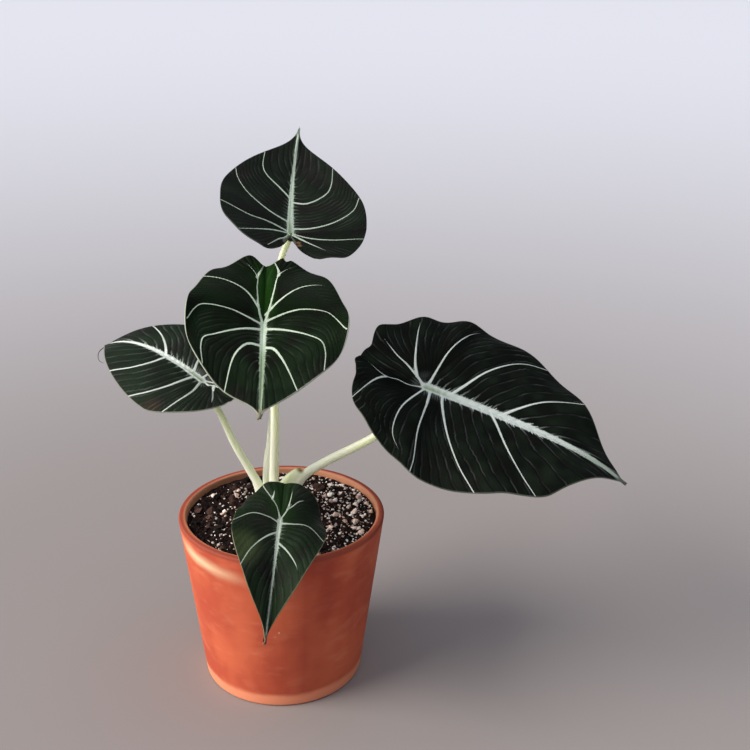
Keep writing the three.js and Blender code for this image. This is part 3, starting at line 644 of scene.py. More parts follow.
share = np.linspace(0, 1, CROWN_STEPS)
swell = CROWN_FOOT_SHARE + (1 - CROWN_FOOT_SHARE) * np.sqrt(share)
scars = SCAR_DEPTH * (0.5 + 0.5 * np.cos(np.pi * CROWN_RINGS * share))
heights = CROWN_FOOT + (CROWN_TOP - CROWN_BEVEL - CROWN_FOOT) * share
profile = np.stack([CROWN_RADIUS * swell - scars, heights], -1)
brim = arc(CROWN_RADIUS - CROWN_BEVEL, CROWN_TOP - CROWN_BEVEL, CROWN_BEVEL, 15, 90, 6)
rings = turned(np.concatenate([profile, brim]), CROWN_SIDES) + [CROWN_X, CROWN_Y, 0]
points, faces = skin_over(rings, *([CROWN_X, CROWN_Y, z] for z in (CROWN_FOOT, CROWN_TOP)))
crown = add_mesh("crown_stem", points, faces, crown_finish())
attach(crown, "root")
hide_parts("crown")

# ---------------------------------------------------------------------------------------- stalks
# Five fleshy leaf stalks, pale green to cream, each on its foot on the crown and grown into the
# underside of its blade. A thin sheath wraps the foot of each and dies out up one side; on the
# right-hand stalk it stands open, with a dry brown end.
#
# A leaf's junction is where its stalk meets its blade. Its heading, rise and roll are degrees.
# The stalk runs from its foot on the crown through its knots, and its two radii are those at
# the foot and at the neck. The sheath is the side it faces, and the keel how far it stands out
# there, in radii of the stalk.
LEAVES = {
    "top": dict(
        junction=(6.6, 15, 264.6), heading=89.3, rise=16.4, roll=15.4,
        foot=(-6.5, 4.5),
        knots=((-7.6, 4.5, 122), (-4, 7.5, 165), (0.3, 12.5, 220), (1.5, 15, 250)),
        radii=(2.7, 1.75), sheath=(-1, 0.2, 0), keel=0.35,
    ),
    "middle": dict(
        junction=(-7.7, -41.1, 234.2), heading=-91.7, rise=-24.8, roll=-7.5,
        foot=(-4.5, -3.5), knots=((-4.3, -8, 126), (-3, -20, 175), (-4.5, -30.5, 209)),
        radii=(2.9, 2), sheath=(0.3, -1, 0), keel=0.3,
    ),
    "left": dict(
        junction=(-43.9, 4.7, 183.2), heading=143.6, rise=24.3, roll=-7.4,
        foot=(-11.2, -1.5),
        knots=((-12.2, -1, 117.5), (-18, 0, 129.7), (-26.1, 0, 146), (-35.6, 2, 167.6)),
        radii=(2.75, 1.8), sheath=(-1, 0, 0.5), keel=0.4,
    ),
    "right": dict(
        junction=(81.3, -8.3, 181.6), heading=-22.9, rise=-13.3, roll=26,
        foot=(2.6, 0.2),
        knots=(
            (6, 0, 112), (12.6, 0, 125), (25.2, 0, 133.8), (39.6, 0, 141.4), (53, -1.5, 149.6),
            (69, -4, 162.5),
        ),
        radii=(2.8, 2.3), sheath=(-0.8, 0.05, 0.6), keel=3,
    ),
    "front": dict(
        junction=(-1.1, -54.5, 125.5), heading=-97.7, rise=-29, roll=-8,
        foot=(-2.4, -9), knots=((-2.4, -12, 109), (-2, -22, 115.5), (-1.2, -38, 116.6)),
        radii=(2, 1.4), sheath=(0, -1, 0), keel=0.2,
    ),
}
STALK_SIDES = 40
STALK_RINGS = 160
STALK_UPRIGHT = 2  # the stalk leaves the crown straight up over this height
STALK_NECK = 5  # and meets the blade square to it over this length
STALK_INTO_BLADE = 0.3
NECK_SWELL = 0.8  # it widens by this much where it runs into the blade,
NECK_SWELL_LENGTH = 2.2  # falling off over this length
SHEATH_START = 0.13  # shares of the stalk's length where its sheath is full,
SHEATH_END = 0.236  # begins to die away
SHEATH_FADE = 0.012  # and over which it is gone
SHEATH_SHARPNESS = 12
SHEATH_SLOPE = 0.62  # share of its width that the sheath loses on the way up
SHEATH_DRY_PAST = 0.002  # its dry end lies this far past there
SHEATH_DRY_OVER = 0.01
STALK_SOFTNESS = (7, 7, 5)  # how far red, green and blue light pass into the flesh
CREAM = (243, 255, 222)
SHEATH_GREY = (176, 184, 150)
STALK_GREEN = (224, 246, 188)
SHEATH_BROWN = (120, 84, 52)


def smooth(x):
    """Ease from 0 to 1 with no corner at either end."""
    t = np.clip(x, 0, 1)
    return t * t * (3 - 2 * t)


def leaf_turn(leaf):
    """The leaf's own axes as rows: along its midrib, to its left, and out of its face. They are
    turned by its heading round the upright, raised by its rise and rolled about the midrib."""
    a, b, c = np.radians([leaf["heading"], leaf["rise"], leaf["roll"]])
    along = np.array([np.cos(a) * np.cos(b), np.sin(a) * np.cos(b), np.sin(b)])
    left = np.array([-np.sin(a), np.cos(a), 0])
    out = np.cross(along, left)
    return np.stack([along, np.cos(c) * left + np.sin(c) * out, np.cos(c) * out - np.sin(c) * left])


def smooth_path(knots, steps):
    """Points evenly spaced on a smooth curve through the knots. Between two knots it is a cubic
    whose end directions weigh the neighbouring knots by the square root of their distances."""
    knots = np.asarray(knots, float)
    ends = [2 * knots[0] - knots[1], *knots, 2 * knots[-1] - knots[-2]]
    fine = []
    for before, here, there, after in zip(ends, ends[1:], ends[2:], ends[3:]):
        pairs = ((before, here), (here, there), (there, after))
        a, b, c = (math.sqrt(np.linalg.norm(q - p)) for p, q in pairs)
        leaving = b * ((here - before) / a - (there - before) / (a + b) + (there - here) / b)
        coming = b * ((there - here) / b - (after - here) / (b + c) + (after - there) / c)
        squared = 3 * (there - here) - 2 * leaving - coming
        cubed = 2 * (here - there) + leaving + coming
        t = np.linspace(0, 1, 60, endpoint=False)[:, None]
        fine.append(here + leaving * t + squared * t**2 + cubed * t**3)
    fine = np.concatenate([*fine, knots[-1:]])
    travelled = np.concatenate([[0], np.cumsum(np.linalg.norm(np.diff(fine, axis=0), axis=1))])
    wanted = np.linspace(0, travelled[-1], steps)
    return np.stack([np.interp(wanted, travelled, axis) for axis in fine.T], -1)


def stalk_finish():
    """Smooth fleshy skin, cream low down and greener upwards, with fine streaks along it. The
    open sheath is greyer, with a brown dry edge where it ends."""
    material, tree, surface = finish("leaf_stalk", CREAM, 0.42, Subsurface_Weight=0.9)
    surface.inputs["Subsurface Radius"].default_value = [MM * reach for reach in STALK_SOFTNESS]
    surface.inputs["Subsurface Scale"].default_value = 1.0
    run = carried(tree, "run", "Vector")
    _, height, dry = parts(run)
    streaks = mottle(run, 1.0, 3, (9, 2.5, 1))
    colour = paint(ease(height * 0.55 + streaks, 0.45, 1.15), CREAM, STALK_GREEN)
    colour = paint(ease(carried(tree, "keel"), 0.15, 0.6, 0, 0.7), colour, SHEATH_GREY)
    join(surface, "Base Color", paint(dry, colour, SHEATH_BROWN))
    relief(surface, streaks, 0.15, 0.5)
    return material


def stalk_rings(leaf):
    """A round section carried along the stalk's path. Its radius eases from the foot to the neck
    and swells into the blade; the sheath is a sharp swelling of the section towards one side,
    which rises and dies away near the foot. Also gives the path, each point's place round and
    along the stalk with the dryness of the sheath there, and how far the sheath stands out."""
    normal = leaf_turn(leaf)[2]
    end = np.array(leaf["junction"]) - normal * STALK_INTO_BLADE
    foot, toward, keel = leaf["foot"], leaf["sheath"], leaf["keel"]
    knots = [(*foot, CROWN_TOP), (*foot, CROWN_TOP + STALK_UPRIGHT), *leaf["knots"]]
    path = smooth_path([*knots, end - normal * STALK_NECK, end], STALK_RINGS)
    ahead = np.gradient(path, axis=0)
    ahead[0], ahead[-1] = (0, 0, 1), normal
    ahead /= np.linalg.norm(ahead, axis=1, keepdims=True)
    first = toward - ahead * (ahead @ toward)[:, None]
    first /= np.linalg.norm(first, axis=1, keepdims=True)
    second = np.cross(ahead, first)
    u = np.linspace(0, 1, STALK_RINGS)
    wide, thin = leaf["radii"]
    radius = thin + (wide - thin) * (1 - smooth(u * 0.9 + 0.1))
    length = np.linalg.norm(np.diff(path, axis=0), axis=1).sum()
    radius = radius + NECK_SWELL * np.exp(-((1 - u) * length / NECK_SWELL_LENGTH))
    rise = smooth(u / SHEATH_START) * (1 - smooth((u - SHEATH_END) / SHEATH_FADE))
    rise = rise * (1 - SHEATH_SLOPE * np.clip(u / SHEATH_END, 0, 1) ** 4)
    a = np.linspace(0, 2 * np.pi, STALK_SIDES, endpoint=False)
    narrow = np.clip(np.cos(a), 0, None) ** SHEATH_SHARPNESS
    reach = radius[:, None] * (1 + keel * rise[:, None] * narrow)
    round_it = first[:, None] * (reach * np.cos(a))[..., None]
    rings = path[:, None] + round_it + second[:, None] * (reach * np.sin(a))[..., None]
    end = np.exp(-(((u[:, None] - SHEATH_END - SHEATH_DRY_PAST) / SHEATH_DRY_OVER) ** 2))
    dry = np.clip(3 * narrow, 0, 1) * (keel > 1) * end
    run = np.stack([0 * reach + a / (2 * np.pi), 0 * reach + u[:, None], dry], -1)
    return rings, path, run, (keel > 1) * narrow * rise[:, None]


stalk_skin = stalk_finish()
for name, leaf in LEAVES.items():
    rings, path, run, keel = stalk_rings(leaf)
    points, faces = skin_over(rings, path[0], path[-1])
    stalk = add_mesh("leaf_stalk_" + name, points, faces, stalk_skin)
    give(stalk, "run", np.concatenate([run.reshape(-1, 3), [[0, 0, 0], [0, 1, 0]]]))
    give(stalk, "keel", np.concatenate([keel.ravel(), [0, 0]]))
    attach(stalk, "root")
    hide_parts("stalk_" + name)

# ---------------------------------------------------------------------------------------- blades
# Five leathery heart-shaped blades, near black and velvety above with raised silver-green veins,
# and dull olive below. Each is one closed sheet with a waved margin, grown onto its stalk, and
# ends in a thin dry drip tip.
#
# A blade is drawn flat round its junction and then bent: its midrib arches, its halves fold up
# and curl down, and its edge waves. Lengths are millimetres forward or back from the junction
# and out from the midrib, and pairs of values are for the left and the right half. Arch, fold
# and curl are degrees; a margin angle is radians from the tip (0) round to the notch (pi). A
# wave or ripple is its height, how many would go round two pi of margin angle, and its phase at
# the tip. A bump of the margin is its margin angle, width and height. A rib or vein is its half
# width at its root and at its end. Lesser veins have a spacing and two strengths, at the root
# and further out. A patch, either a stain or a patch of painted sheen, is its place, size,
# strength and colour. A hook goes on from the tip.
DULL_SAGE = (138, 162, 128)
PLAIN_BLADE = dict(
    pinch=0, bumps=((), ()), calm=0, rib_taper=1, rib_start=0, stripe=0, stains_and_sheen=(),
    junction_colour=DULL_SAGE, rib_dulls=(0.5, 1, 0),
)
BLADES = {
    "top": dict(
        front=88.5, back=29, half=(42.3, 42.3), widest=0.08, tip_power=3.2, back_power=0.89,
        notch=21.8, notch_angle=0.2, pinch=2.7,
        arch_front=-19.6, arch_back=8.3, tip_drop=-7.8, fold_front=13.6, fold_back=12.8,
        curl=(26, 7.4), curl_back=-8, calm=0.8, wave=((3, 4.22, 0.92), (3.8, 3.64, 2.04)),
        ripple=((0.7, 8.6, 0.12), (0.77, 9.4, -0.15)),
        root_angle=1.49, root_power=1.38, vein_forward=0.06, vein_out=0.82, rib=(2.1, 0.35),
        vein=(0.75, 0.2), lesser=(3.4, 0.2, 0.05),
        veins=((
            ((34, 0), (40, 6.5), (49, 16), (55, 18.5), (66, 18.5)),
            ((11, 0), (14, 13), (23, 25), (36.5, 32), (44, 33.5)),
            ((1, 0), (2, 11), (0.5, 25), (3, 41)),
            ((0, 0), (-4, 10), (-9, 18), (-17.5, 29.5)),
            ((0, 0), (-7, 3.5), (-11, 7), (-18, 11)),
        ), (
            ((31.5, 0), (31, 9), (41, 20), (50, 22.5), (61, 22.5)),
            ((5, 0), (5.5, 10), (11, 23), (23, 34.5), (34, 37.5)),
            ((0, 0), (-4, 10), (-4.5, 24), (-1.5, 39.5)),
            ((-1, 0), (-9.5, 10.5), (-16, 20)),
        )),
        base=(12, 15, 12), green=0.15, brown=0.5, gloss=0.08, silver=(187, 204, 185),
        tip_colour=(120, 132, 118), edge_colour=(40, 47, 38),
        stains_and_sheen=(
            (-10, -4.4, 2, 0.6, (150, 112, 84)),
            (-13, -5, 1.8, 0.6, (150, 112, 84)),
            # Painted sheen: a lighter patch on the back of the left half.
            (-8, 30, 22, 0.5, (24, 29, 24)),
        ),
        hook_radius=0.45, hook_colour=(128, 132, 126),
        hook=((0.2, -0.3, -0.4), (0, 0.4, 1.1)),
    ),
    "middle": dict(
        front=67.3, back=45.3, half=(43.4, 40.6), widest=0.15, tip_power=2.81, back_power=0.88,
        notch=5.5, notch_angle=0.15,
        bumps=(
            ((3.14, 0.025, 1), (2.955, 0.035, 0.6), (2.895, 0.035, -2.4)),
            ((3.14, 0.025, 1), (0.07, 0.06, 0.9)),
        ),
        arch_front=-2.9, arch_back=5.7, tip_drop=1.5, fold_front=22.4, fold_back=38, curl=(3, 15),
        curl_back=59, wave=((3, 4.02, -0.95), (4.8, 3.63, 0.32)),
        ripple=((1.65, 9.2, -1.91), (-1.6, 9.8, -0.59)),
        root_angle=1.59, root_power=2.06, vein_forward=0.03, vein_out=0.95, rib=(2.1, 0.7),
        vein=(0.92, 0.24), lesser=(3.4, 0.1, 0.03), rib_start=5,
        veins=((
            ((21, 0), (23, 5.5), (29.5, 9.5), (38, 13), (53, 18)),
            ((7.5, 0), (11, 10), (17.5, 24), (22, 30), (30, 32), (39.5, 31.5)),
            ((3, 0), (1, 7.5), (-1, 19.5), (2, 32), (7, 37), (12.5, 40.5)),
            ((-3, 1.5), (-10.5, 9), (-18, 20), (-20, 32.5)),
            ((5, 0.6), (1.5, 1.5), (-3, 2.5), (-9.7, 4), (-19.5, 5.9), (-31, 8.2), (-38, 15.5)),
            ((-31, 8), (-34, 8), (-38, 6.5)),
        ), (
            ((20, 0), (21.5, 8), (26.5, 12.5), (34, 15.5), (52, 18)),
            ((8, 0), (13, 11.5), (21, 25), (25, 30.5), (31, 31.5), (38, 30.5)),
            ((5, 0), (4, 9), (2.5, 20), (4.5, 33), (8.5, 36.5), (13.5, 38.5)),
            ((-6, 3.5), (-14.5, 11), (-19, 21.5), (-21.5, 33.5)),
            ((5, 0.6), (1.5, 1.6), (-2.2, 2.9), (-8.9, 4.1), (-21, 5.4), (-29, 5.5), (-38.5, 12)),
            ((-29, 5.5), (-33, 4), (-38, 2.5)),
        )),
        base=(9, 12, 8), green=0.35, brown=0.25, stripe=0.9, gloss=0.04, silver=(205, 222, 199),
        junction_colour=(212, 232, 203), rib_dulls=(0.22, 0.45, 0.9), tip_colour=(116, 114, 92),
        edge_colour=(160, 168, 148),
        # Both back lobes are lightened with painted sheen.
        stains_and_sheen=((-22, 26, 22, 0.6, (27, 34, 27)), (-22, -26, 22, 0.5, (25, 32, 24))),
        hook_radius=1.9, hook_colour=(120, 118, 96),
        hook=((-0.1, -0.6, 1.3), (-1, -0.5, -0.3)),
    ),
    "left": dict(
        front=74.9, back=27.2, half=(36.9, 36.5), widest=0.1, tip_power=2.35, back_power=1.2,
        notch=4.8, notch_angle=0.26,
        arch_front=25.6, arch_back=-10.3, tip_drop=13.1, fold_front=17.6, fold_back=11.3,
        curl=(41.2, 16.3), curl_back=35.8, wave=((-4.3, 2.37, -2.73), (1.4, 4.11, -0.85)),
        ripple=((0.82, 6.3, 0), (0.4, 9, 0)),
        root_angle=1.68, root_power=1.52, vein_forward=0.2, vein_out=0.58, rib=(2.2, 0.8),
        vein=(0.85, 0.34), lesser=(4.6, 0.3, 0.08), rib_taper=0.7,
        veins=((
            ((26.5, 0), (27.5, 11.5), (33, 21.5), (42, 28.5)),
            ((4.5, 0), (6, 11), (8.5, 20), (13.5, 28.5), (20.5, 35.5)),
            ((0, 0), (-4, 12.5), (-4, 25.5), (-3.5, 31.5)),
            ((-7.7, -2), (-9.6, 0.9), (-11.5, 3.5), (-14.6, 7.2), (-18.4, 12.5)),
        ), (
            ((27.5, 0), (32, 5), (41, 12), (52, 18)),
            ((6.5, 0), (10, 6), (16, 17), (26, 26)),
            ((1, 0), (0.5, 8), (-2, 17), (-2, 28)),
            ((0, 0), (-6, 4), (-13, 11)),
            ((-1, 0), (-4.5, 0.2), (-8, 2.2), (-13, 5)),
        )),
        base=(16, 22, 16), green=0.4, brown=0.3, gloss=0.12, silver=(228, 238, 229),
        tip_colour=(120, 132, 118), edge_colour=(150, 158, 138),
        stains_and_sheen=((5, 34, 8, 0.3, (70, 46, 38)),),
        hook_radius=0.45, hook_colour=(88, 90, 82),
        hook=(
            (-0.5, 0, -0.2),
            (-2.8, -0.6, -2.2),
            (-3.6, -1.6, -4.9),
            (-2.7, -2.7, -7.4),
            (-0.1, -3.3, -8.6),
        ),
    ),
    "right": dict(
        front=120.9, back=43.4, half=(59.8, 60), widest=0.16, tip_power=3.2, back_power=0.95,
        notch=1.8, notch_angle=0.28,
        bumps=(
            ((2.8, 0.08, 2.6), (2.97, 0.07, -1.8)),
            (
                (0.92, 0.08, 1.9), (1.12, 0.08, -1.4), (1.66, 0.12, 1.3),
                (2.03, 0.14, -1.4), (2.86, 0.1, -1.1), (3.08, 0.05, 2),
            ),
        ),
        arch_front=3.6, arch_back=-21.2, tip_drop=14, fold_front=11.4, fold_back=33,
        curl=(50.5, 9.2), curl_back=63.8, wave=((5.3, 3.11, 1.6), (3.8, 4.26, -2.55)),
        ripple=((2.29, 13.2, 1.57), (1.97, 11.4, -0.98)),
        root_angle=1.43, root_power=1.1, vein_forward=0.24, vein_out=0.55, rib=(3.2, 0.8),
        vein=(0.9, 0.24), lesser=(6.2, 0.25, 0.06), rib_taper=0.7,
        veins=((
            ((43.5, 0), (51, 8.5), (63.5, 21.5), (83, 34.5)),
            ((13, 0), (19, 9), (28.5, 25), (44, 44), (56, 52)),
            ((0, 0), (1.5, 10), (4, 28), (10, 46), (14.5, 54)),
            ((-7.5, 5), (-12, 12.5), (-18, 29.5), (-20.5, 41)),
            ((0, 0), (-7.5, 5), (-16.5, 9.5), (-23, 11.5), (-35, 17)),
        ), (
            ((38.5, 0), (43, 6.5), (53.5, 21), (67, 35), (77.5, 43.5)),
            ((10, 0), (12.5, 10), (21.5, 28.5), (34, 44.5), (47, 56)),
            ((2.5, 0), (5, 13), (7.5, 36), (12, 54), (12.5, 59)),
            ((0, 0), (-2.5, 11), (-6.5, 29), (-4.5, 43.5), (3, 52.5)),
            ((-1, 0), (-10, 4.5), (-16, 4), (-23, 6.5), (-36, 1)),
            ((-23, 6.5), (-27.5, 14), (-32.5, 27.5)),
        )),
        base=(9, 12, 9), green=0, brown=0.2, gloss=0.03, silver=(204, 214, 206),
        rib_dulls=(0.66, 0.85, 0.55), tip_colour=(96, 110, 100), edge_colour=(100, 108, 94),
        hook_radius=0.5, hook_colour=(100, 98, 88),
        hook=((-2.1, 0.4, 0.6), (-0.5, -0.3, -0.9)),
    ),
    "front": dict(
        front=58.4, back=25.8, half=(25.7, 25.5), widest=0, tip_power=3.17, back_power=0.88,
        notch=0, notch_angle=0.25,
        bumps=((), ((0.05, 0.08, 0.8),)),
        arch_front=16.1, arch_back=16.4, tip_drop=18.3, fold_front=36, fold_back=12.2,
        curl=(6.2, 7.6), curl_back=58.5, wave=((3.4, 3.63, 2.76), (2, 4.82, -1.87)),
        ripple=((1.08, 8.1, 0.19), (0.82, 13.4, 0.54)),
        root_angle=1.6, root_power=1.86, vein_forward=0.15, vein_out=0.59, rib=(1.45, 0.5),
        vein=(0.6, 0.22), lesser=(4, 0.15, 0.04),
        veins=((
            ((12.5, 0), (17.5, 5.5), (26.5, 12.5), (31, 15)),
            ((1.5, 0), (2, 6.5), (2.5, 15.5), (9, 21.5)),
            ((-7.5, 3.5), (-10, 6), (-13, 8.5), (-15, 12)),
            ((0, 0), (-7.5, 3.5), (-13.5, 4.5), (-20.5, 5)),
        ), (
            ((6.5, 0), (11, 6.5), (20, 14.5), (28.5, 19.5)),
            ((1.5, 0), (-1, 6.5), (-2.5, 15.5), (1, 23)),
            ((-13.5, 5.5), (-16, 5), (-19, 5)),
            ((0, 0), (-8.5, 2.5), (-13.5, 5.5), (-21.5, 10.5)),
        )),
        base=(13, 18, 12), green=0.45, brown=0.2, stripe=0.4, gloss=0.1, silver=(176, 190, 176),
        junction_colour=(200, 214, 197), tip_colour=(110, 120, 104), edge_colour=(118, 122, 92),
        # Painted sheen: an olive patch near the margin.
        stains_and_sheen=((20, -19, 14, 0.4, (84, 98, 60)),),
        hook_radius=0.8, hook_colour=(132, 88, 60),
        hook=((0.2, -0.4, 1.6), (-1.5, -0.4, -0.6)),
    ),
}
HALVES = ((0, 1), (1, -1))  # the left and right half of a pair, and the side each lies on
ROW_STEP = 0.8
COLUMNS = 90
COLUMN_POWER = 1.25
BLADE_THICKNESS = 1.0
EDGE_THICKNESS = 0.6
RIB_UP = 0.35  # height of the midrib over the upper face
RIB_DOWN = 0.9  # and below the lower face, where veins stand out more
RIB_END_SHARE = 0.35  # the share of that height left at the tip
VEIN_UP = 0.25
VEIN_DOWN = 0.5
VEIN_SLIMS = 0.6  # the share of its height that a vein loses on its way to the margin
RIDGE_HALF_WIDTH = 0.75  # the ridge of a vein isn't slimmer than this at its root,
RIDGE_TAPER = 0.6  # or than this share less at its end,
RIDGE_EDGE = 1.35  # and ends this many half widths from its crest
WEBBING = 0.16
PUFF = 0.7  # how far the blade swells between two main veins
VEIN_NEAR_MARGIN = 4  # a vein that ends nearer to the margin than this runs on across it,
VEIN_PAST_MARGIN = 1.4  # by this many times what was left
VEIN_END_FADE = 0.3  # share of its length over which one that ends before it fades out
FORK_START = 4  # a vein that starts further from the midrib than this is a fork of another
GRID_GAP = 0.55
BEND_GAP = 0.01  # the least difference in margin angle between two main veins
HALVES_APART = 100  # the halves' counts are moved apart by this, so that their noise differs
DRIP_HALF_WIDTH = 0.9  # the thin end of the tip
DRIP_FADE = 3
TIP_SPREAD = 0.95  # margin angle over which the tip draws out to its point
WAVE_START = 0.8  # margin angle at which the waves are full
BACK_VEIN_FORWARD = 0.8
BACK_VEIN_OUT = 0.45
BACK_VEINS_FROM = 1.2  # margin angles over which the veins' bend changes to that at the back
BACK_VEINS_OVER = 1.5
LOBE_BEND = 0.6
NOTCH_BLEND = 0.35  # margin angles before the notch where the two halves' waves run together,
CALM_OVER = 0.45  # and where the waves die away
NOTCH_POWER = 2.6
PINCH_AT = 0.17  # margin angle from the notch's bottom at which its sides are pinched
PINCH_OVER = 0.06
PINCH_STEEPNESS = 40  # it can't take away more than this by the sine of the margin angle
HOOK_ROOTS = (0.9, 0.96, 1)  # shares of the way to the tip through which the hook starts
HOOK_RINGS = 40
HOOK_SIDES = 16

VELVET_GREEN = (16, 44, 10)
VELVET_BROWN = (26, 18, 17)
STRIPE_GREEN = (24, 58, 12)
# The lighter tops of the pads between the lesser veins are painted sheen.
PAINTED_PAD_SHEEN = (40, 54, 40)
UNDERSIDE = (64, 72, 52)
UNDERSIDE_VEIN = (112, 120, 88)


def outline(leaf, angle, hand):
    """Forward distance and half width of the flat margin at a margin angle. Ahead of the widest
    line it is half an ellipse drawn out to a point, behind it half an ellipse with a notch, whose
    sides may be pinched together. The bumps of the margin then push it out from the junction,
    each round its own angle."""
    widest = leaf["widest"] * leaf["front"]
    reach = np.where(angle < np.pi / 2, leaf["front"] - widest, leaf["back"] + widest)
    notch = leaf["notch"] * np.exp(-(((np.pi - angle) / leaf["notch_angle"]) ** NOTCH_POWER))
    forward = widest + reach * np.cos(angle) + notch
    sharp = np.exp(-((angle / TIP_SPREAD) ** 2))
    power = leaf["back_power"] + (leaf["tip_power"] - leaf["back_power"]) * sharp
    sine = np.clip(np.sin(angle), 0, 1)
    drip = DRIP_HALF_WIDTH * np.sqrt(sine) * np.exp(-angle * DRIP_FADE)
    pinch = leaf["pinch"] * np.exp(-(((np.pi - angle - PINCH_AT) / PINCH_OVER) ** 2))
    out = leaf["half"][hand] * sine**power + drip - np.minimum(pinch, sine * PINCH_STEEPNESS)
    push = 0 * angle
    for at, wide, high in leaf["bumps"][hand]:
        push = push + high * np.exp(-(((angle - at) / wide) ** 2))
    grow = 1 + push / np.hypot(forward, out)
    return forward * grow, out * grow


def flat_point(leaf, angle, share, hand):
    """A point of the flat blade. Share 0 is on the midrib and 1 on the margin, along a curve of
    the second degree which leaves the midrib steeply, bends towards the tip as the side veins
    do, and ends at that margin angle."""
    end_forward, end_out = outline(leaf, angle, hand)
    root = leaf["front"] * np.clip(1 - angle / leaf["root_angle"], 0, 1) ** leaf["root_power"]
    behind = smooth((angle - BACK_VEINS_FROM) / BACK_VEINS_OVER)
    forward_share = leaf["vein_forward"] + (BACK_VEIN_FORWARD - leaf["vein_forward"]) * behind
    out_share = leaf["vein_out"] + (BACK_VEIN_OUT - leaf["vein_out"]) * behind
    middle = root + forward_share * (end_forward - root)
    rest = 1 - share
    forward = rest**2 * root + 2 * share * rest * middle + share**2 * end_forward
    return forward, 2 * share * rest * out_share * end_out + share**2 * end_out


def margin_wave(leaf, angle, share, hand):
    """Rise of one half's edge: a slow wave that fades towards the midrib and a quick ripple
    close to the margin. Both die away at the tip, and on some leaves towards the notch."""
    height, count, start = leaf["wave"][hand]
    small, quick, begin = leaf["ripple"][hand]
    slow = height * share**2 * np.cos(count * angle + start)
    fast = small * share**3 * np.cos(quick * angle + begin)
    calm = 1 - leaf["calm"] * smooth((angle - np.pi) / CALM_OVER + 1)
    return (slow + fast) * np.clip(angle / WAVE_START, 0, 1) * calm


def bent_point(leaf, forward, out, angle, share, hand, lift):
    """The flat point after bending. The midrib is an arc, with the tip dropping by the fourth
    power of the distance; each half rises at the fold angle and curls down along an arc; near
    the notch the waves of the two halves run into each other."""
    ahead, behind = leaf["arch_front"] / leaf["front"], leaf["arch_back"] / leaf["back"]
    turn = np.radians(np.where(forward >= 0, ahead, behind))
    far = np.abs(forward)
    sign = np.where(forward < 0, -1, 1)
    along = sign * np.sin(turn * far) / turn
    down = (1 - np.cos(turn * far)) / turn
    down = down + leaf["tip_drop"] * np.clip(forward / leaf["front"], 0, None) ** 4
    slope = sign * turn * far
    change = LOBE_BEND * (leaf["front"] + leaf["back"])
    front_share = smooth((forward + LOBE_BEND * leaf["back"]) / change)
    fold = np.radians(leaf["fold_back"] * (1 - front_share) + leaf["fold_front"] * front_share)
    curl_here = leaf["curl"][hand] * front_share + leaf["curl_back"] * (1 - front_share)
    curl = np.radians(curl_here) / leaf["half"][hand]
    across = (np.sin(fold) - np.sin(fold - curl * out)) / curl
    up = (np.cos(fold - curl * out) - np.cos(fold)) / curl
    shared = 0.5 * smooth((angle - np.pi + NOTCH_BLEND) / NOTCH_BLEND)
    wave = margin_wave(leaf, angle, share, hand) * (1 - shared)
    up = up + wave + margin_wave(leaf, angle, share, 1 - hand) * shared + lift
    side = HALVES[hand][1]
    local = np.stack([along + np.sin(slope) * up, side * across, np.cos(slope) * up - down], -1)
    return local @ leaf_turn(leaf) + leaf["junction"]


def row_angles(leaf):
    """Margin angles of the rows, spaced evenly along the mean of the two halves' margins."""
    angles = np.pi * np.linspace(0, 1, 6000) ** 1.5
    margins = [np.stack(outline(leaf, angles, hand)) for hand, _ in HALVES]
    steps = np.mean([np.hypot(*np.diff(margin)) for margin in margins], axis=0)
    travelled = np.concatenate([[0], np.cumsum(steps)])
    return np.interp(np.arange(0, travelled[-1] + ROW_STEP, ROW_STEP), travelled, angles)


def distance_to_line(places, line):
    """Distance from every place to a bent line, the nearest point on it, and how far along the
    line that is, from 0 to 1: the nearest point on each straight piece, then the nearest piece."""
    start, step = line[:-1], np.diff(line, axis=0)
    away = places[:, None] - start
    part = np.clip((away * step).sum(-1) / (step**2).sum(-1), 0, 1)
    gap = np.linalg.norm(away - part[..., None] * step, axis=-1)
    best = gap.argmin(-1)
    each = np.arange(len(places))
    part = part[each, best]
    return gap[each, best], start[best] + part[:, None] * step[best], (best + part) / len(step)


def vein_lines(leaf, hand):
    """The main veins of one half as smooth lines on the flat blade, and which of them reach the
    margin. One whose last knot is near the margin is drawn on across it."""
    margin = np.stack(outline(leaf, np.linspace(0, np.pi, 400), hand), -1)
    lines, reaches = [], []
    for knots in leaf["veins"][hand]:
        knots = np.array(knots, float)
        left = np.linalg.norm(margin - knots[-1], axis=1).min()
        reaches.append(left < VEIN_NEAR_MARGIN)
        if reaches[-1]:
            ahead = knots[-1] - knots[-2]
            knots[-1] += VEIN_PAST_MARGIN * left * ahead / np.linalg.norm(ahead)
        lines.append(smooth_path(knots, 60))
    return lines, reaches


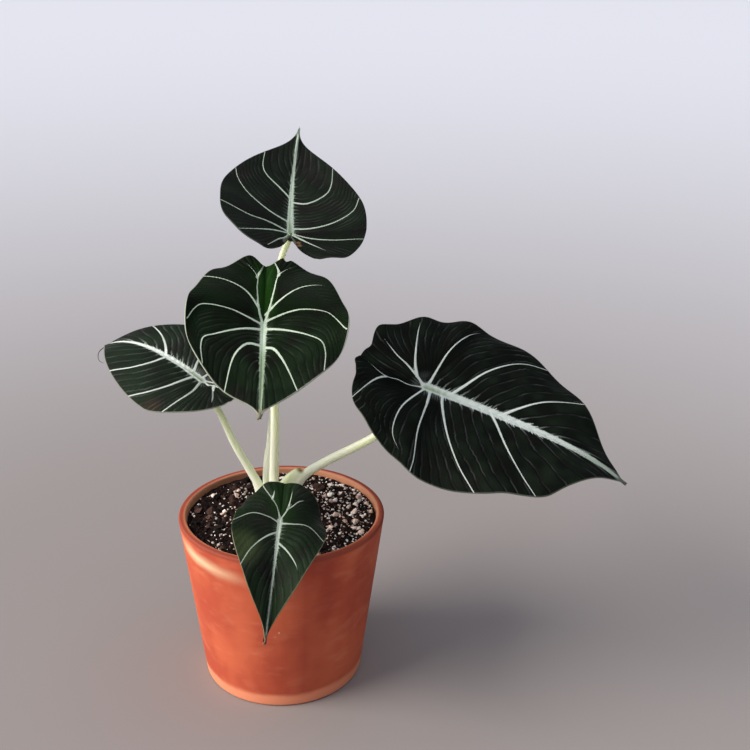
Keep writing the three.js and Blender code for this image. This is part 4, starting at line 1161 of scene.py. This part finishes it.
def vein_field(leaf, flat):
    """How each flat point lies to the veins. Returns the depth in half widths of a soft ridge
    over all of them, 0 on a crest and 1 at its edge, joined with a soft minimum so that they web
    together; the same for the midrib alone; and for the nearest side vein the distance, its
    nearest point and its half width there."""
    forward, sideways = flat.T
    out = np.hypot(sideways, np.minimum(forward - leaf["rib_start"], 0))
    thick, thin = leaf["rib"]
    width = thin + (thick - thin) * np.clip(1 - forward / leaf["front"], 0, 1) ** leaf["rib_taper"]
    rib = out / width
    depths = [rib]
    best = np.full(len(flat), np.inf)
    gaps, places, widths = np.zeros_like(best), np.zeros_like(flat), np.ones_like(best)
    thick, thin = leaf["vein"]
    for hand, side in HALVES:
        for line, reaches in zip(*vein_lines(leaf, hand)):
            gap, place, along = distance_to_line(flat, line * [1, side])
            width = thin + (thick - thin) * (1 - along) ** 2
            if not reaches:
                width = width * smooth((1.02 - along) / VEIN_END_FADE)
            depths.append(gap / np.maximum(width, RIDGE_HALF_WIDTH * (1 - RIDGE_TAPER * along)))
            nearer = gap - width < best
            best = np.where(nearer, gap - width, best)
            gaps, widths = np.where(nearer, gap, gaps), np.where(nearer, width, widths)
            places = np.where(nearer[:, None], place, places)
    depths = np.minimum(np.stack(depths), 40)
    soft = -WEBBING * np.log(np.exp(-depths / WEBBING).sum(0) + 1e-100)
    return soft, rib, gaps, places, widths


def between_veins(leaf, angle, share, forward, out, hand):
    """Two counts over one half of the blade, from the tip round to the notch. The first rises by
    one from each main vein to the next, the second by one from each lesser vein to the next, so
    that the lesser veins lie as arcs that pass over from one main vein's bend to the other's."""
    grid = np.stack([forward, out], -1).reshape(-1, 2)
    shares = share[0]
    bends = [np.zeros_like(shares), np.full_like(shares, np.pi)]
    lines, _ = vein_lines(leaf, hand)
    for line in lines:
        if line[0, 1] > FORK_START:
            continue
        line = line[line[:, 1] > 1]
        nearest = np.linalg.norm(line[:, None] - grid, axis=-1).argmin(-1)
        on_angle, on_share = angle.ravel()[nearest], share.ravel()[nearest]
        inside = np.argsort(on_share, kind="stable")
        bends.append(np.interp(shares, on_share[inside], on_angle[inside]))
    bends = sorted(bends, key=lambda bend: bend[len(bend) * 2 // 3])
    bends = np.array(bends) + BEND_GAP * np.arange(len(bends))[:, None]
    bends = np.maximum.accumulate(bends, axis=0)
    margin = np.stack(outline(leaf, np.minimum(bends[:, -1], np.pi), hand), -1)
    steps = np.linalg.norm(np.diff(margin, axis=0), axis=1)
    lesser = np.concatenate([[0], np.cumsum(np.maximum(np.round(steps / leaf["lesser"][0]), 2))])
    main = np.arange(len(bends))
    counts = [
        [np.interp(column, bend, marks) for column, bend in zip(angle.T, bends.T)]
        for marks in (main, lesser)
    ]
    return np.array(counts).swapaxes(1, 2)


def blade_sheet(leaf):
    """The blade's middle sheet: a grid of rows and columns for each half, with the points that
    the halves share merged. Returns points, triangles, and for each point its place among the
    lesser veins and on the flat blade."""
    across = np.linspace(0, 1, COLUMNS) ** COLUMN_POWER
    angle, share = np.meshgrid(row_angles(leaf), across, indexing="ij")
    here = np.arange(angle.size).reshape(angle.shape)
    corners = here[:-1, :-1], here[:-1, 1:], here[1:, 1:], here[1:, :-1]
    a, b, c, d = (corner.ravel() for corner in corners)
    split = np.concatenate([np.stack([a, b, c], -1), np.stack([a, c, d], -1)])
    points, fans, flats, faces = [], [], [], []
    for hand, side in HALVES:
        forward, out = flat_point(leaf, angle, share, hand)
        main, lesser = between_veins(leaf, angle, share, forward, out, hand)
        swell = PUFF * 4 * share * (1 - share) * np.abs(np.sin(np.pi * main))
        surface = bent_point(leaf, forward, out, angle, share, hand, swell)
        down, along = np.gradient(forward), np.gradient(out)
        change = np.gradient(lesser)
        area = np.abs(down[0] * along[1] - down[1] * along[0])
        forwards = change[0] * along[1] - change[1] * along[0]
        steep = np.hypot(forwards, change[1] * down[0] - change[0] * down[1])
        spread = area / np.maximum(steep, 1e-6)
        points.append(surface.reshape(-1, 3))
        fans.append(np.stack([lesser + side * HALVES_APART, share, spread], -1).reshape(-1, 3))
        flats.append(np.stack([forward, side * out], -1).reshape(-1, 2))
        faces.append(split if side > 0 else split[:, ::-1] + angle.size)
    points, fans, flats, faces = (np.concatenate(part) for part in (points, fans, flats, faces))
    rounded = np.round(points, 3)
    _, first, where = np.unique(rounded, axis=0, return_index=True, return_inverse=True)
    faces = where.ravel()[faces]
    a, b, c = faces.T
    faces = faces[(a != b) & (b != c) & (c != a)]
    return points[first], faces, fans[first], flats[first]


def point_normals(points, faces):
    """The mean direction that the faces round each point look in, weighed by their areas."""
    a, b, c = (points[faces[:, k]] for k in range(3))
    facing = np.cross(b - a, c - a)
    total = np.zeros_like(points)
    for k in range(3):
        np.add.at(total, faces[:, k], facing)
    return total / np.maximum(np.linalg.norm(total, axis=1, keepdims=True), 1e-12)


def open_edges(faces):
    """The directed edges that only one face has."""
    edges = np.concatenate([faces[:, [0, 1]], faces[:, [1, 2]], faces[:, [2, 0]]])
    start, stop = edges.T.astype(np.int64)
    count = faces.max() + 1
    return edges[~np.isin(start * count + stop, stop * count + start)]


def velvet(leaf):
    """The upper face: near black and softly shining, clouded with green and brown. The main
    veins are pale with ragged edges. Sunken lesser veins run between them, silver for a short
    way from the midrib, and a faint net of cells joins them. The pads between the lesser veins
    carry painted sheen, patches of stain and of painted sheen lie over it, and the very margin
    is painted pale, in part as a painted highlight."""
    name, base, silver, front = (leaf[key] for key in ("name", "base", "silver", "front"))
    material, tree, surface = finish("velvet_" + name, base, 0.5, Specular_IOR_Level=leaf["gloss"])
    fan, vein, flat, near = (
        carried(tree, name, "Vector") for name in ("fan", "vein", "flat", "near")
    )
    lesser, share, spread = parts(fan)
    coarse, rib, centre = parts(vein)
    forward, sideways, _ = parts(flat)
    near_forward, near_sideways, half_width = parts(near)

    clouds = mottle(flat, 20, 2)
    colour = paint(ease(clouds, 0.45, 0.7, 0, leaf["brown"]), base, VELVET_BROWN)
    colour = paint(ease(clouds, 0.75, 0.3, 0, leaf["green"]), colour, VELVET_GREEN)
    stripe = ease(abs(sideways), 3, 9, leaf["stripe"], 0) * ease(forward, -6, 6, 1, 0)
    colour = paint(stripe, colour, STRIPE_GREEN)

    sway = (mottle(flat, 18, 0) - 0.5) * 0.6
    gap = (0.5 - abs(work("FRACT", lesser + sway) - 0.5)) * spread
    pads = ease(gap, 0.1, 1.6)
    # Painted sheen on the tops of the pads.
    painted_sheen = ease(mottle(flat, 14, 1), 0.35, 0.75, 0.05, 0.32)
    colour = paint(pads * painted_sheen, colour, PAINTED_PAD_SHEEN)
    step, at_root, further = leaf["lesser"]
    root = ease(rib, 1.2, 3.6, at_root, 0) * ease(spread, 0.5, 1.6)
    faint = ease(mottle(flat, 12, 1), 0.4, 0.7, 0.2 * further, further)
    faint = faint * ease(spread, 0.25 * step, 0.7 * step)
    trace = ease(gap, 0.05, 0.7, 1, 0) * work("MAXIMUM", root, faint)
    colour = paint(trace, colour, silver)
    # Patches: stains, and patches of painted sheen.
    for *middle, size, strength, patch_colour in leaf["stains_and_sheen"]:
        over = ease(apart(flat, (*middle, 0)), 0.25 * size, size, strength, 0)
        colour = paint(over, colour, patch_colour)

    close = put(tree, "CombineXYZ", {0: near_forward, 1: near_sideways})
    away = work("MAXIMUM", apart(flat, close), coarse - GRID_GAP)
    depth = away / work("MAXIMUM", half_width, 0.02)
    depth = put(tree, "Math", {0: depth, 1: rib, 2: 0.8}, operation="SMOOTH_MIN")
    ragged = (mottle(flat, 0.9, 2) - 0.5) * 0.8
    cover = ease(depth + ragged, 0.75, 1.3, 1, 0) * ease(share, 0.3, 1, 1, 0.85)
    colour = paint(cover, colour, silver)
    barbs = ease(mottle(fan, 1.0, 1, (9, 3, 0)), 0.52, 0.8) * 0.9
    colour = paint(ease(rib + ragged - barbs, 0.75, 1.2, 1, 0), colour, silver)
    sage = ease(rib, 0.2, 0.9, 1, 0) * ease(centre, 3, 19, 0.85, 0)
    colour = paint(sage, colour, leaf["junction_colour"])
    dull_from, dull_to, dullness = leaf["rib_dulls"]
    far = ease(forward, front * dull_from, front * dull_to, 0, dullness)
    colour = paint(far * ease(rib, 0.7, 1.5, 1, 0), colour, DULL_SAGE)
    colour = paint(ease(forward, front * 0.935, front * 0.965), colour, leaf["tip_colour"])
    # The very margin is painted pale: partly the blade's pale edge, partly a painted rim highlight.
    colour = paint(ease(share, 0.988, 0.996, 0, 0.6), colour, leaf["edge_colour"])
    join(surface, "Base Color", colour)

    cells = put(tree, "VectorMath", {0: fan, 1: (1, 9, 0)}, operation="MULTIPLY")
    net = put(tree, "TexVoronoi", {"Vector": cells}, "Distance", feature="DISTANCE_TO_EDGE")
    nap = mottle(flat, 0.6, 1) * 0.1
    relief(surface, pads + ease(net, 0, 0.14, 0, 0.3) + nap, 0.35, 0.8)
    return material


def hook_rings(leaf):
    """A thin round section carried from inside the blade's tip along the knots of the hook,
    which are places from the tip, thinning to its end. Also gives its path."""
    forward = np.array(HOOK_ROOTS) * leaf["front"]
    zero = 0 * forward
    start = bent_point(leaf, forward, zero, zero, zero, 0, 0)
    path = smooth_path([*start[:2], *(start[2] + np.array(leaf["hook"]))], HOOK_RINGS)
    ahead = np.gradient(path, axis=0)
    ahead /= np.linalg.norm(ahead, axis=1, keepdims=True)
    first = np.cross(ahead, leaf_turn(leaf)[2])
    first /= np.linalg.norm(first, axis=1, keepdims=True)
    second = np.cross(ahead, first)
    run = np.linspace(0, 1, HOOK_RINGS)
    radius = leaf["hook_radius"] * smooth(run / 0.3 + 0.2) * np.sqrt(1.04 - run)
    a = np.linspace(0, 2 * np.pi, HOOK_SIDES, endpoint=False)
    across = first[:, None] * np.cos(a)[:, None] + second[:, None] * np.sin(a)[:, None]
    return path[:, None] + across * radius[:, None, None], path


def underside():
    """The lower face: dull olive with paler veins."""
    material, tree, surface = finish("leaf_underside", UNDERSIDE, 0.6)
    coarse, rib, _ = parts(carried(tree, "vein", "Vector"))
    close = ease(work("MINIMUM", coarse, rib), 0.5, 1.4, 1, 0)
    join(surface, "Base Color", paint(close, UNDERSIDE, UNDERSIDE_VEIN))
    relief(surface, mottle(carried(tree, "flat", "Vector"), 2.5), 0.3, 0.5)
    return material


leaf_underside = underside()
for name, leaf in LEAVES.items():
    leaf = {"name": name, **leaf, **PLAIN_BLADE, **BLADES[name]}
    sheet, triangles, fan, flat = blade_sheet(leaf)
    veins, rib, gaps, places, widths = vein_field(leaf, flat)
    share = fan[:, 1]
    normals = point_normals(sheet, triangles)
    crest = smooth(RIDGE_EDGE - veins)
    slim = 1 - VEIN_SLIMS * share
    strong = smooth(RIDGE_EDGE - rib)
    along = np.clip(1 - flat[:, 0] / leaf["front"], 0, 1)
    fade = RIB_END_SHARE + (1 - RIB_END_SHARE) * along
    thick = BLADE_THICKNESS + (EDGE_THICKNESS - BLADE_THICKNESS) * share
    above = thick / 2 + np.maximum(VEIN_UP * crest * slim, RIB_UP * strong * fade)
    below = thick / 2 + np.maximum(VEIN_DOWN * crest * slim, RIB_DOWN * strong * fade)
    points = np.concatenate([sheet + normals * above[:, None], sheet - normals * below[:, None]])
    count = len(sheet)
    p, q = open_edges(triangles).T
    edge_faces = np.stack([q, p, p + count, q + count], -1)
    faces = [triangles, triangles[:, ::-1] + count, edge_faces]
    # The edge faces carry the same pale colour, partly a painted rim highlight.
    edge, _, _ = finish("leaf_edge_" + name, leaf["edge_colour"], 0.5)
    blade = add_mesh("leaf_blade_" + name, points, faces, velvet(leaf), leaf_underside, edge)
    slots = np.repeat([0, 1, 2], [len(part) for part in faces])
    blade.data.polygons.foreach_set("material_index", slots.astype(np.int32))
    centre = np.linalg.norm(flat, axis=1)
    give(blade, "fan", np.tile(fan, (2, 1)))
    give(blade, "flat", np.tile(np.column_stack([flat, 0 * share]), (2, 1)))
    give(blade, "vein", np.tile(np.stack([gaps, rib, centre], -1), (2, 1)))
    give(blade, "near", np.tile(np.column_stack([places, widths]), (2, 1)))
    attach(blade, "root")
    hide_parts("blade_" + name)

    rings, path = hook_rings(leaf)
    points, faces = skin_over(rings, path[0], path[-1])
    dry_end, _, _ = finish("leaf_tip_" + name, leaf["hook_colour"], 0.6)
    hook = add_mesh("leaf_tip_" + name, points, faces, dry_end)
    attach(hook, "root")
    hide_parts("blade_" + name)

# ----------------------------------------------------------------------------------------- sizes
# The finished plant's box, from everything shown but the floor.
low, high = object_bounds()
